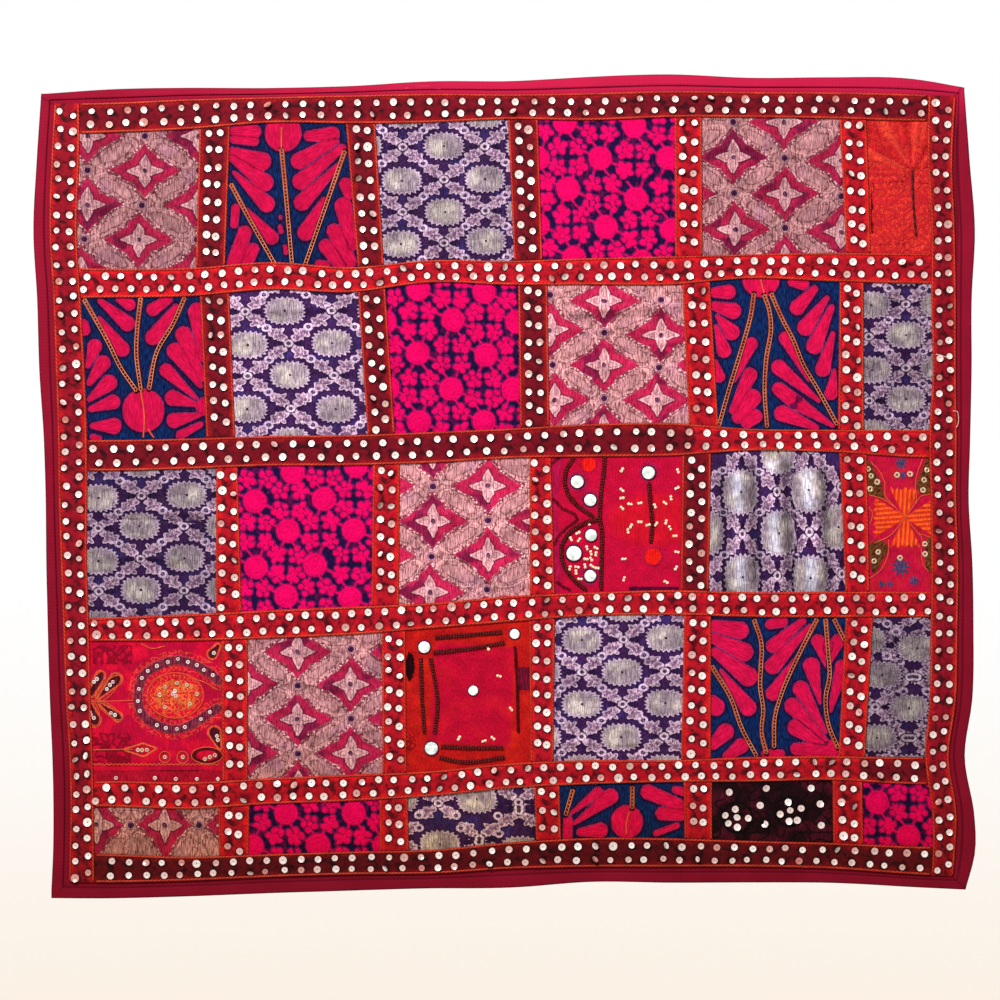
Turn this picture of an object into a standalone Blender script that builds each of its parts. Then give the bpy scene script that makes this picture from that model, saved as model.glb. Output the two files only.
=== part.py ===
# Patchwork wall hanging: thirty embroidered patches in five rows, appliqued on a plain
# crimson ground cloth, with their raw edges covered by embroidered trims.
# It hangs in the XZ plane with its face towards -Y. The origin is at the middle of the
# top edge, on the wall side. The ground's edge is turned to the front as a hem.
import math
from collections import namedtuple

import bpy
import numpy as np

MM = 0.001

# The pattern sheet: every table below is in millimetres, across from the sheet's left
# edge and down from its top.
SHEET_MIDDLE = 505.0        # across, where the hanging's middle line lies
SHEET_TOP = 81.0            # down, where the top edge crosses that line

GROUND_THICK = 1.2
HEM_THICK = 3.2             # the ground with its edge turned twice
PATCH_THICK = 0.9
TRIM_THICK = 1.0
GAP = 0.3                   # between any two pieces
PATCH_BACK = GROUND_THICK + GAP
PATCH_FRONT = PATCH_BACK + PATCH_THICK
TRIM_BACK = PATCH_FRONT + GAP
TRIM_FRONT = TRIM_BACK + TRIM_THICK
UNDERLAP = 6.0              # how far a patch runs on beneath the trims around it
FACET = 50.0                # pitch of the folded cloth's facets
FACET_START = 25.0          # puts the facets' lines between the tables' stations
BEND_CLEAR = 1.5            # a seam's bend nearer than this to a corner is left out
CUT_REACH = 30.0            # how far a cutting outline stands out on both sides

ROWS = 5
COLUMNS = 6
UPRIGHT_ROWS = 4            # the fifth row's short trims are sewn on with the sequins

# How far down the sheet each level line runs, at these places across it.
ACROSS = (45, 110, 190, 270, 350, 430, 510, 590, 670, 750, 830, 910, 968)
LEVELS = {
    "edge_top": (93.5, 89, 87.5, 88, 86, 81.5, 81, 76.5, 74, 77.5, 77, 78.5, 88),
    "band_1_upper": (103.5, 102.5, 99, 97.5, 95.5, 94, 94.5, 93, 91, 92, 92.5, 94.5, 97),
    "band_1_lower": (135, 133, 129.5, 123.5, 124, 123, 119.5, 120.5, 117.5, 117.5, 119, 121.5, 121),
    "band_2_upper": (268, 269, 268, 262.5, 267.5, 260.5, 261, 258.5, 256.5, 254.5, 253, 254, 254),
    "band_2_lower": (299, 298, 296.5, 290, 292.5, 282.5, 285, 285, 285, 278.5, 281.5, 283.5, 284),
    "band_3_upper": (440, 440, 438.5, 436, 435, 432, 428.5, 424, 423, 429, 430, 430, 430),
    "band_3_lower": (470, 471, 469, 466, 465.5, 463, 458.5, 457, 456, 450.5, 452, 457, 458),
    "band_4_upper": (620, 617.5, 614, 610, 606.5, 603, 596, 592.5, 590, 592, 591.5, 591.5, 592),
    "band_4_lower": (641, 641, 641, 638.5, 635, 628.5, 622, 616, 615, 617, 617.5, 617, 617),
    "band_5_upper": (783, 781, 782, 778, 774.5, 771, 763, 760, 760, 757, 756, 757, 757),
    "band_5_lower": (806, 806.5, 809, 804, 801, 796, 788, 784, 782, 781.5, 780, 784, 784),
    "band_6_upper": (852, 853.5, 856.5, 854, 851.5, 849.5, 841.5, 837.5, 838, 840.5, 842.5, 845.5, 846),
    "band_6_lower": (881, 882, 880.5, 877, 874.5, 873.5, 868, 867, 867, 866.5, 868.5, 873.5, 876),
    "edge_bottom": (897.5, 898, 896.5, 893.5, 891, 888.5, 887, 882, 883, 882.5, 883, 886.5, 889),
}

# How far across the sheet each upright line runs, at these places down it.
DOWN = (92, 160, 230, 300, 370, 440, 500, 560, 630, 700, 757, 815, 850, 889)
UPRIGHTS = {
    "edge_left": (41, 37, 34, 37.5, 39, 43.5, 45.5, 46, 47.5, 49.5, 52, 53.5, 53.5, 52),
    "left_outer": (55, 51.5, 50, 53.5, 55.5, 57.5, 58.5, 60.5, 63, 65.5, 69, 70.5, 70, 69.5),
    "left_inner": (79.5, 80, 78, 81.5, 85, 87.5, 88, 87.5, 89.5, 91, 93, 94.5, 95, 95.5),
    "right_inner": (928, 927, 931, 931, 932.5, 929, 930.5, 931, 930, 929, 925, 931.5, 931.5, 929),
    "right_outer": (956, 952, 954.5, 956, 956, 957, 956.5, 958.5, 957, 955.5, 949, 956, 954, 950),
    "edge_right": (964.5, 969.5, 975, 972, 972, 970.5, 969, 972.5, 973, 972, 965, 974, 974.5, 964.5),
}

# The short upright trims of each row, left to right.
ShortTrim = namedtuple("ShortTrim", "left_top left_bottom right_top right_bottom")
SHORT_TRIMS = {
    1: (ShortTrim(199.5, 196, 230.5, 225.5), ShortTrim(346, 358, 375.5, 384),
        ShortTrim(508, 514, 538, 542.5), ShortTrim(674.5, 675, 702, 702.5),
        ShortTrim(839, 846, 866, 870)),
    2: (ShortTrim(200, 206.5, 229.5, 235.5), ShortTrim(358, 367.5, 385.5, 395),
        ShortTrim(518, 520, 547.5, 549.5), ShortTrim(682, 689, 710, 718.5),
        ShortTrim(839.5, 838, 863.5, 864)),
    3: (ShortTrim(216.5, 216, 238, 242), ShortTrim(373, 371.5, 400, 399),
        ShortTrim(529.5, 530, 551, 555), ShortTrim(682, 680.5, 711, 708.5),
        ShortTrim(839, 845, 866.5, 869)),
    4: (ShortTrim(222, 222.5, 248, 248), ShortTrim(382, 382.5, 405.5, 407),
        ShortTrim(529, 530.5, 555, 553.5), ShortTrim(684, 681, 711, 711),
        ShortTrim(845.5, 838.5, 873, 865)),
    5: (ShortTrim(218.5, 219, 249.5, 249), ShortTrim(379.5, 380, 408, 409),
        ShortTrim(534, 536, 559.5, 561), ShortTrim(683.5, 684.5, 712, 712),
        ShortTrim(832.5, 833, 862, 863)),
}

# Where the cloth stands off the wall: the middle of each swell, its reach and its height.
Swell = namedtuple("Swell", "across down reach_across reach_down height")
SWELLS = (
    Swell(30, 235, 150, 170, 5.0),
    Swell(290, 200, 120, 210, 4.0),
    Swell(440, 60, 150, 110, 3.0),
    Swell(610, 320, 130, 120, 3.0),
    Swell(900, 170, 170, 150, 3.5),
    Swell(150, 520, 150, 130, 3.5),
    Swell(465, 515, 130, 140, 2.0),
    Swell(790, 530, 130, 130, 4.5),
    Swell(300, 690, 140, 120, 2.5),
    Swell(985, 650, 130, 120, 4.5),
    Swell(620, 690, 120, 110, 1.8),
    Swell(60, 900, 170, 150, 5.0),
    Swell(510, 900, 120, 230, 6.0),
    Swell(960, 880, 150, 140, 6.5),
    Swell(760, 880, 120, 120, 2.0),
)

# Tucks, gathers and creases of the patches: the two ends of each ridge, its width and height.
Ridge = namedtuple("Ridge", "row column across_1 down_1 across_2 down_2 width height")
RIDGES = (
    Ridge(2, 2, 246, 312, 350, 306, 10, 1.5),
    Ridge(2, 4, 557, 312, 676, 306, 11, 1.9),
    Ridge(2, 4, 560, 331, 652, 327, 10, 1.6),
    Ridge(2, 4, 590, 348, 680, 343, 9, 1.2),
    Ridge(3, 1, 97, 513, 208, 518, 10, 1.9),
    Ridge(3, 3, 409, 516, 520, 510, 9, 1.6),
    Ridge(3, 5, 739, 472, 752, 584, 12, 2.2),
    Ridge(3, 5, 778, 466, 783, 582, 12, 2.0),
    Ridge(3, 5, 815, 468, 822, 584, 11, 2.2),
    Ridge(4, 2, 262, 676, 338, 694, 12, 1.5),
    Ridge(4, 6, 880, 690, 921, 696, 9, 1.4),
    Ridge(5, 3, 512, 798, 515, 834, 9, 1.6),
)
RIDGE_STEPS = 6             # sections along a ridge
RIDGE_SEAT = 0.45           # how deep a ridge's foot is sunk in its patch

# Colour and roughness of each cloth.
CLOTHS = {
    "ground_cotton": ((0.36, 0.010, 0.050), 0.85),
    "rose_brocade": ((0.50, 0.20, 0.24), 0.60),
    "blue_embroidery": ((0.04, 0.06, 0.26), 0.70),
    "purple_brocade": ((0.16, 0.08, 0.30), 0.60),
    "pink_embroidery": ((0.42, 0.01, 0.14), 0.70),
    "red_embroidery": ((0.58, 0.03, 0.02), 0.75),
    "crimson_beadwork": ((0.55, 0.01, 0.04), 0.75),
    "maroon_sequin": ((0.04, 0.004, 0.010), 0.70),
    "trim_bright": ((0.50, 0.008, 0.015), 0.65),
    "trim_deep": ((0.12, 0.004, 0.012), 0.65),
}
SHORT_NAMES = {"A": "rose_brocade", "B": "blue_embroidery", "C": "purple_brocade",
               "D": "pink_embroidery", "E": "red_embroidery", "F": "crimson_beadwork",
               "G": "maroon_sequin"}
PATCH_LAYOUT = ("ABCDAE", "BCDABC", "CDAFCF", "EAECBC", "ADCBGD")    # a string for each row
BAND_CLOTHS = ("trim_deep", "trim_bright", "trim_deep", "trim_bright", "trim_bright", "trim_deep")
UPRIGHT_LAYOUT = ("DDDBB", "DDDBB", "BBBDB", "BBBBB")                # D is deep, B is bright

# A seam is a line over the sheet: where it runs, and where it bends.
Line = namedtuple("Line", "at bends")


def level(name, shift=0.0):
    return Line(lambda across: np.interp(across, ACROSS, LEVELS[name]) + shift, ACROSS)


def upright(name, shift=0.0):
    return Line(lambda down: np.interp(down, DOWN, UPRIGHTS[name]) + shift, DOWN)


def short_trim_side(row, number, side, shift=0.0):
    """A short trim's straight side, from the band above to the band below."""
    trim = SHORT_TRIMS[row][number]
    across_top = getattr(trim, side + "_top")
    across_bottom = getattr(trim, side + "_bottom")
    down_top = level(f"band_{row}_lower").at(across_top)
    down_bottom = level(f"band_{row + 1}_upper").at(across_bottom)
    slope = (across_bottom - across_top) / (down_bottom - down_top)
    return Line(lambda down: across_top + slope * (down - down_top) + shift, ())


def meeting(side, rail):
    """The point where an upright line crosses a level one, both nearly straight there."""
    down = rail.at(SHEET_MIDDLE)
    for _ in range(8):
        across = side.at(down)
        down = rail.at(across)
    return float(across), float(down)


def bends_between(line, start, end):
    """The line's bends between two places along it, in the order they are passed."""
    low, high = sorted((start, end))
    inner = [place for place in line.bends if low + BEND_CLEAR < place < high - BEND_CLEAR]
    return inner if start < end else inner[::-1]


def panel(left, right, top, bottom):
    """Outline of a four-sided piece of cloth, clockwise from its upper left corner."""
    upper_left, upper_right = meeting(left, top), meeting(right, top)
    lower_right, lower_left = meeting(right, bottom), meeting(left, bottom)
    outline = [upper_left]
    outline += [(a, float(top.at(a))) for a in bends_between(top, upper_left[0], upper_right[0])]
    outline.append(upper_right)
    outline += [(float(right.at(d)), d) for d in bends_between(right, upper_right[1], lower_right[1])]
    outline.append(lower_right)
    outline += [(a, float(bottom.at(a))) for a in bends_between(bottom, lower_right[0], lower_left[0])]
    outline.append(lower_left)
    outline += [(float(left.at(d)), d) for d in bends_between(left, lower_left[1], upper_left[1])]
    return outline


def fold(across, down):
    """How far the cloth's back stands off the wall: the sum of its rounded swells."""
    depth = np.zeros(np.shape(across))
    for swell in SWELLS:
        reach = np.hypot((across - swell.across) / swell.reach_across,
                         (down - swell.down) / swell.reach_down)
        depth = depth + swell.height * 0.5 * (1.0 + np.cos(math.pi * np.minimum(reach, 1.0)))
    return depth


def place(across, down, off_back):
    """A point of the sheet in the hanging's frame, so far in front of the cloth's back."""
    return ((across - SHEET_MIDDLE) * MM, -(float(fold(across, down)) + off_back) * MM,
            (SHEET_TOP - down) * MM)


def facet_lines(places):
    """Facet lines that take in all the given places along one direction of the sheet."""
    first = math.floor((min(places) - FACET_START) / FACET)
    last = math.ceil((max(places) - FACET_START) / FACET)
    return [FACET_START + FACET * number for number in range(first, last + 1)]


def new_object(name, points, faces):
    mesh = bpy.data.meshes.new(name)
    mesh.from_pydata(points, [], faces)
    mesh.validate()
    thing = bpy.data.objects.new(name, mesh)
    bpy.context.collection.objects.link(thing)
    return thing


def slab(name, outline, back, front):
    """A folded, faceted slab over the whole of an outline's box, between two depths.

    Every slab shares the same facets, so two of them at different depths never cross."""
    columns = facet_lines([point[0] for point in outline])
    rows = facet_lines([point[1] for point in outline])
    wide, tall = len(columns), len(rows)
    count = wide * tall
    points = [place(a, d, off) for off in (front, back) for d in rows for a in columns]
    faces = []
    for j in range(tall - 1):
        for i in range(wide - 1):
            corner = j * wide + i
            right, below, across = corner + 1, corner + wide, corner + wide + 1
            faces += [(corner, below, right), (right, below, across)]
            faces += [(count + corner, count + right, count + below),
                      (count + right, count + across, count + below)]
    rim = list(range(wide)) + [j * wide + wide - 1 for j in range(1, tall)]
    rim += [(tall - 1) * wide + i for i in range(wide - 2, -1, -1)]
    rim += [j * wide for j in range(tall - 2, 0, -1)]
    faces += [(a, b, count + b, count + a) for a, b in zip(rim, rim[1:] + rim[:1])]
    return new_object(name, points, faces)


def hide_cutter(cutter):
    cutter.hide_render = True
    cutter.display_type = "WIRE"
    return cutter


def prism(name, outline):
    """A cutter that stands out in front of and behind the cloth over an outline."""
    ring = [((a - SHEET_MIDDLE) * MM, (SHEET_TOP - d) * MM) for a, d in outline]
    size = len(ring)
    points = [(x, y, z) for y in (-CUT_REACH * MM, CUT_REACH * MM) for x, z in ring]
    faces = [tuple(reversed(range(size))), tuple(range(size, 2 * size))]
    faces += [(i, (i + 1) % size, size + (i + 1) % size, size + i) for i in range(size)]
    return hide_cutter(new_object(name, points, faces))


def combine(thing, other, operation):
    modifier = thing.modifiers.new(f"{operation.lower()}_{other.name}", "BOOLEAN")
    modifier.operation = operation
    modifier.solver = "EXACT"
    modifier.object = other


def cut_cloth(name, outline, back, front):
    """A piece of cloth: the folded slab, cut to its outline."""
    cloth = slab(name, outline, back, front)
    combine(cloth, prism(f"outline_{name}", outline), "INTERSECT")
    return cloth


def ridge_solid(name, ridge):
    """A soft ridge with its foot sunk in the patch, low at both ends and full between."""
    start = np.array((ridge.across_1, ridge.down_1), float)
    end = np.array((ridge.across_2, ridge.down_2), float)
    along = (end - start) / np.linalg.norm(end - start)
    sideways = np.array((-along[1], along[0]))
    profile = ((-0.5, 0.0), (-0.22, 0.7), (0.0, 1.0), (0.22, 0.7), (0.5, 0.0))    # width, height
    foot = PATCH_FRONT - RIDGE_SEAT
    points = []
    for step in range(RIDGE_STEPS + 1):
        share = step / RIDGE_STEPS
        fullness = 0.15 + 0.85 * math.sin(math.pi * share) ** 0.7 if 0 < step < RIDGE_STEPS else 0.1
        middle = start + (end - start) * share
        for wide, high in profile:
            a, d = middle + sideways * wide * ridge.width * max(fullness, 0.3)
            points.append(place(a, d, foot + high * fullness * (ridge.height + RIDGE_SEAT)))
    ring = len(profile)
    faces = [tuple(range(ring)), tuple(reversed(range(RIDGE_STEPS * ring, len(points))))]
    for step in range(RIDGE_STEPS):
        for i in range(ring):
            a, b = step * ring + i, step * ring + (i + 1) % ring
            faces.append((a, a + ring, b + ring, b))
    return hide_cutter(new_object(name, points, faces))


def material(name, colour, roughness):
    finish = bpy.data.materials.new(name)
    finish.use_nodes = True
    shader = finish.node_tree.nodes["Principled BSDF"]
    shader.inputs["Base Color"].default_value = (*colour, 1.0)
    shader.inputs["Roughness"].default_value = roughness
    shader.inputs["Metallic"].default_value = 0.0
    return finish


def finish_cloth(thing, cloth):
    colour, roughness = CLOTHS[cloth]
    thing.data.materials.append(material(f"{cloth}_{thing.name}", colour, roughness))


def make_ground():
    """The ground cloth, thick where its edge is turned to the front as a hem."""
    outer = panel(upright("edge_left"), upright("edge_right"), level("edge_top"), level("edge_bottom"))
    inner = panel(upright("left_outer"), upright("right_outer"),
                  level("band_1_upper"), level("band_6_lower"))
    ground = cut_cloth("ground_cloth", outer, 0.0, HEM_THICK)
    pocket = hide_cutter(cut_cloth("inside_hem", inner, GROUND_THICK, 2.0 * HEM_THICK))
    combine(ground, pocket, "DIFFERENCE")
    finish_cloth(ground, "ground_cotton")


def make_patch(row, column):
    if column == 1:
        left = upright("left_inner", -UNDERLAP)
    else:
        left = short_trim_side(row, column - 2, "right", -UNDERLAP)
    if column == COLUMNS:
        right = upright("right_inner", UNDERLAP)
    else:
        right = short_trim_side(row, column - 1, "left", UNDERLAP)
    outline = panel(left, right, level(f"band_{row}_lower", -UNDERLAP),
                    level(f"band_{row + 1}_upper", UNDERLAP))
    patch = cut_cloth(f"patch_r{row}_c{column}", outline, PATCH_BACK, PATCH_FRONT)
    for number, ridge in enumerate(RIDGES):
        if (ridge.row, ridge.column) == (row, column):
            combine(patch, ridge_solid(f"ridge_{number}", ridge), "UNION")
    finish_cloth(patch, SHORT_NAMES[PATCH_LAYOUT[row - 1][column - 1]])


def make_bands():
    """The six level bands, each from one side trim to the other."""
    for number, cloth in enumerate(BAND_CLOTHS, start=1):
        upper_gap = GAP if number == 1 else 0.0
        lower_gap = GAP if number == len(BAND_CLOTHS) else 0.0
        outline = panel(upright("left_inner", GAP), upright("right_inner", -GAP),
                        level(f"band_{number}_upper", upper_gap),
                        level(f"band_{number}_lower", -lower_gap))
        finish_cloth(cut_cloth(f"band_{number}", outline, TRIM_BACK, TRIM_FRONT), cloth)


def make_side_trims():
    """The two side trims, full height inside the hem."""
    sides = {"left": (upright("left_outer", GAP), upright("left_inner")),
             "right": (upright("right_inner"), upright("right_outer", -GAP))}
    for side, (left, right) in sides.items():
        outline = panel(left, right, level("band_1_upper", GAP), level("band_6_lower", -GAP))
        finish_cloth(cut_cloth(f"side_trim_{side}", outline, TRIM_BACK, TRIM_FRONT), "trim_bright")


def make_short_trims():
    """The short upright trims, each between two bands."""
    for row in range(1, UPRIGHT_ROWS + 1):
        for number in range(COLUMNS - 1):
            outline = panel(short_trim_side(row, number, "left"), short_trim_side(row, number, "right"),
                            level(f"band_{row}_lower", GAP), level(f"band_{row + 1}_upper", -GAP))
            trim = cut_cloth(f"short_trim_r{row}_{number + 1}", outline, TRIM_BACK, TRIM_FRONT)
            deep = UPRIGHT_LAYOUT[row - 1][number] == "D"
            finish_cloth(trim, "trim_deep" if deep else "trim_bright")


for old in list(bpy.data.objects):
    bpy.data.objects.remove(old)
make_ground()
for patch_row in range(1, ROWS + 1):
    for patch_column in range(1, COLUMNS + 1):
        make_patch(patch_row, patch_column)
make_bands()
make_side_trims()
make_short_trims()
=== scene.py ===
# Patchwork wall hanging: thirty embroidered patches in five rows on a crimson ground cloth,
# with sequinned trims over their raw edges. Every place is in millimetres on one pattern
# sheet, across from its left edge and down from its top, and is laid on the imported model.
import math

import bpy
import numpy as np
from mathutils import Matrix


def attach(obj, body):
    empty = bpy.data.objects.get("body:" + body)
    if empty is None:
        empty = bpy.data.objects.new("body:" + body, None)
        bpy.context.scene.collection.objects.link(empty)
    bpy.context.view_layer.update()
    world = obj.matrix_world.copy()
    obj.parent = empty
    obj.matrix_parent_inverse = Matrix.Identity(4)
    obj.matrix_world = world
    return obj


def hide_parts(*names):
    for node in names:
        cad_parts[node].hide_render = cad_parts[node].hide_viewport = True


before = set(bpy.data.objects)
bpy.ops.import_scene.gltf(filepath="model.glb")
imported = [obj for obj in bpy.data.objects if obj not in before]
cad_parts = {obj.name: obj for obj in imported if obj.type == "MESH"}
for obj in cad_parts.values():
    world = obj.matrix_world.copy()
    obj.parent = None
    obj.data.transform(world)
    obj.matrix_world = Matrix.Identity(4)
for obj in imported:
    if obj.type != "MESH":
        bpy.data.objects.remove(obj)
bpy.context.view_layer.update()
mm = 0.001
print("frame loaded")

sheetMiddle, sheetTop = 505.0, 81.0          # the point of the sheet that hangs at the origin
layers = {"ground": 1.2, "hem": 3.2, "patchBack": 1.5, "patchFront": 2.4,
          "trimBack": 2.7, "trimFront": 3.7, "underlap": 6.0, "gap": 0.3}

# Level seams: how far down each one runs at these places across.
levelPlaces = (45, 110, 190, 270, 350, 430, 510, 590, 670, 750, 830, 910, 968)
levelSeams = {
    "edgeTop": (93.5, 89, 87.5, 88, 86, 81.5, 81, 76.5, 74, 77.5, 77, 78.5, 88),
    "band1Upper": (103.5, 102.5, 99, 97.5, 95.5, 94, 94.5, 93, 91, 92, 92.5, 94.5, 97),
    "band1Lower": (135, 133, 129.5, 123.5, 124, 123, 119.5, 120.5, 117.5, 117.5, 119, 121.5, 121),
    "band2Upper": (268, 269, 268, 262.5, 267.5, 260.5, 261, 258.5, 256.5, 254.5, 253, 254, 254),
    "band2Lower": (299, 298, 296.5, 290, 292.5, 282.5, 285, 285, 285, 278.5, 281.5, 283.5, 284),
    "band3Upper": (440, 440, 438.5, 436, 435, 432, 428.5, 424, 423, 429, 430, 430, 430),
    "band3Lower": (470, 471, 469, 466, 465.5, 463, 458.5, 457, 456, 450.5, 452, 457, 458),
    "band4Upper": (620, 617.5, 614, 610, 606.5, 603, 596, 592.5, 590, 592, 591.5, 591.5, 592),
    "band4Lower": (641, 641, 641, 638.5, 635, 628.5, 622, 616, 615, 617, 617.5, 617, 617),
    "band5Upper": (783, 781, 782, 778, 774.5, 771, 763, 760, 760, 757, 756, 757, 757),
    "band5Lower": (806, 806.5, 809, 804, 801, 796, 788, 784, 782, 781.5, 780, 784, 784),
    "band6Upper": (852, 853.5, 856.5, 854, 851.5, 849.5, 841.5, 837.5, 838, 840.5, 842.5, 845.5, 846),
    "band6Lower": (881, 882, 880.5, 877, 874.5, 873.5, 868, 867, 867, 866.5, 868.5, 873.5, 876),
    "edgeBottom": (897.5, 898, 896.5, 893.5, 891, 888.5, 887, 882, 883, 882.5, 883, 886.5, 889),
}
# Upright seams: how far across each one runs at these places down.
uprightPlaces = (92, 160, 230, 300, 370, 440, 500, 560, 630, 700, 757, 815, 850, 889)
uprightSeams = {
    "edgeLeft": (41, 37, 34, 37.5, 39, 43.5, 45.5, 46, 47.5, 49.5, 52, 53.5, 53.5, 52),
    "leftOuter": (55, 51.5, 50, 53.5, 55.5, 57.5, 58.5, 60.5, 63, 65.5, 69, 70.5, 70, 69.5),
    "leftInner": (79.5, 80, 78, 81.5, 85, 87.5, 88, 87.5, 89.5, 91, 93, 94.5, 95, 95.5),
    "rightInner": (928, 927, 931, 931, 932.5, 929, 930.5, 931, 930, 929, 925, 931.5, 931.5, 929),
    "rightOuter": (956, 952, 954.5, 956, 956, 957, 956.5, 958.5, 957, 955.5, 949, 956, 954, 950),
    "edgeRight": (964.5, 969.5, 975, 972, 972, 970.5, 969, 972.5, 973, 972, 965, 974, 974.5, 964.5),
}
# Short trims of each row: left side at its top and bottom, right side at its top and bottom.
shortSeams = {
    1: ((199.5, 196, 230.5, 225.5), (346, 358, 375.5, 384), (508, 514, 538, 542.5),
        (674.5, 675, 702, 702.5), (839, 846, 866, 870)),
    2: ((200, 206.5, 229.5, 235.5), (358, 367.5, 385.5, 395), (518, 520, 547.5, 549.5),
        (682, 689, 710, 718.5), (839.5, 838, 863.5, 864)),
    3: ((216.5, 216, 238, 242), (373, 371.5, 400, 399), (529.5, 530, 551, 555), (682, 680.5, 711, 708.5),
        (839, 845, 866.5, 869)),
    4: ((222, 222.5, 248, 248), (382, 382.5, 405.5, 407), (529, 530.5, 555, 553.5), (684, 681, 711, 711),
        (845.5, 838.5, 873, 865)),
    5: ((218.5, 219, 249.5, 249), (379.5, 380, 408, 409), (534, 536, 559.5, 561), (683.5, 684.5, 712, 712),
        (832.5, 833, 862, 863))}
# Where the cloth stands off the wall: middle across and down, reach across and down, height.
swells = ((30, 235, 150, 170, 5), (290, 200, 120, 210, 4), (440, 60, 150, 110, 3), (610, 320, 130, 120, 3),
    (900, 170, 170, 150, 3.5), (150, 520, 150, 130, 3.5), (465, 515, 130, 140, 2),
    (790, 530, 130, 130, 4.5), (300, 690, 140, 120, 2.5), (985, 650, 130, 120, 4.5),
    (620, 690, 120, 110, 1.8), (60, 900, 170, 150, 5), (510, 900, 120, 230, 6), (960, 880, 150, 140, 6.5),
    (760, 880, 120, 120, 2))


def smoothLine(places, values, shift=0.0):
    # Cubic Hermite curve through the points, level beyond both ends: the slope at a point is
    # that of the curve's neighbours on either side.
    places, values = np.array(places, float), np.array(values, float)
    slopes = np.gradient(values, places)

    def at(place):
        place = np.clip(place, places[0], places[-1])
        k = np.clip(np.searchsorted(places, place, side="right") - 1, 0, len(places) - 2)
        width = places[k + 1] - places[k]
        u = (place - places[k]) / width
        return (values[k] * (1 + 2 * u) * (1 - u) ** 2 + slopes[k] * width * u * (1 - u) ** 2
                + values[k + 1] * u * u * (3 - 2 * u)
                + slopes[k + 1] * width * u * u * (u - 1) + shift)
    return at


def level(name, shift=0.0):
    # How far down a level seam runs at any place across.
    return smoothLine(levelPlaces, levelSeams[name], shift)


def upright(name, shift=0.0):
    # How far across an upright seam runs at any place down.
    return smoothLine(uprightPlaces, uprightSeams[name], shift)


def shortSide(row, number, side, shift=0.0):
    # Straight line from the band above to the band below.
    first = 0 if side == "left" else 2
    topAcross, bottomAcross = shortSeams[row][number][first:first + 2]
    topDown = float(level(f"band{row}Lower")(topAcross))
    bottomDown = float(level(f"band{row + 1}Upper")(bottomAcross))
    slope = (bottomAcross - topAcross) / (bottomDown - topDown)
    return lambda down: topAcross + slope * (down - topDown) + shift


def netPoint(sides, s, t):
    # The point at share s between the two upright seams and share t between the two level
    # ones, found by putting each into the other eight times.
    left, right, top, bottom = sides
    s, t = np.broadcast_arrays(np.asarray(s, float), np.asarray(t, float))
    down = (1 - t) * top(sheetMiddle) + t * bottom(sheetMiddle)
    for _ in range(8):
        across = (1 - s) * left(down) + s * right(down)
        down = (1 - t) * top(across) + t * bottom(across)
    return across, down


def softNoise(x, y, pitch, seed):
    # Value noise from -1 to 1: a scattered value at each crossing of a square net of that
    # pitch, blended between the crossings by the smooth step 3u^2 - 2u^3.
    def scattered(i, j):
        value = np.sin(i * 127.1 + j * 311.7 + seed * 74.7) * 43758.5453
        return 2 * (value - np.floor(value)) - 1
    x, y = np.asarray(x, float) / pitch, np.asarray(y, float) / pitch
    i, j = np.floor(x), np.floor(y)
    u, v = x - i, y - j
    u, v = u * u * (3 - 2 * u), v * v * (3 - 2 * v)
    upper = scattered(i, j) * (1 - u) + scattered(i + 1, j) * u
    lower = scattered(i, j + 1) * (1 - u) + scattered(i + 1, j + 1) * u
    return upper * (1 - v) + lower * v


def step(low, high, value):
    # Smooth step from 0 at low to 1 at high.
    u = np.clip((value - low) / (high - low), 0, 1)
    return u * u * (3 - 2 * u)


def standOff(across, down):
    # The back of the cloth off the wall: the sum of the rounded swells, and small unevenness.
    depth = 0.5 + 0.34 * softNoise(across, down, 36, 1) + 0.14 * softNoise(across, down, 13, 2)
    for swellAcross, swellDown, reachAcross, reachDown, height in swells:
        reach = np.hypot((across - swellAcross) / reachAcross, (down - swellDown) / reachDown)
        depth = depth + height * 0.5 * (1 + np.cos(math.pi * np.minimum(reach, 1)))
    return depth


def hung(across, down, off):
    # A point of the sheet in the hanging's own frame, in metres, so far before the cloth's back.
    return np.stack(((across - sheetMiddle) * mm, -(standOff(across, down) + off) * mm,
                     (sheetTop - down) * mm), axis=-1)


def placed(name, data):
    # A new object in the scene, at the origin.
    thing = bpy.data.objects.new(name, data)
    bpy.context.collection.objects.link(thing)
    return thing


def makeMesh(name, points, faces, finish, uv=None, fields=None, sharp=55):
    # A mesh from whole arrays of points and faces, smooth but for edges over the sharp angle.
    mesh = bpy.data.meshes.new(name)
    mesh.from_pydata(points.reshape(-1, 3), [], faces)
    mesh.polygons.foreach_set("use_smooth", [True] * len(mesh.polygons))
    if sharp:
        mesh.set_sharp_from_angle(angle=math.radians(sharp))
    if uv is not None:
        corners = np.empty(len(mesh.loops), np.int32)
        mesh.loops.foreach_get("vertex_index", corners)
        layer = mesh.uv_layers.new(name="cloth")
        layer.data.foreach_set("uv", uv.reshape(-1, 2)[corners].astype(np.float32).ravel())
    for key, values in (fields or {}).items():
        attribute = mesh.attributes.new(key, "FLOAT", "POINT")
        attribute.data.foreach_set("value", np.asarray(values, np.float32).ravel())
    mesh.materials.append(finish)
    piece = placed(name, mesh)
    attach(piece, "root")
    return piece


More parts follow.
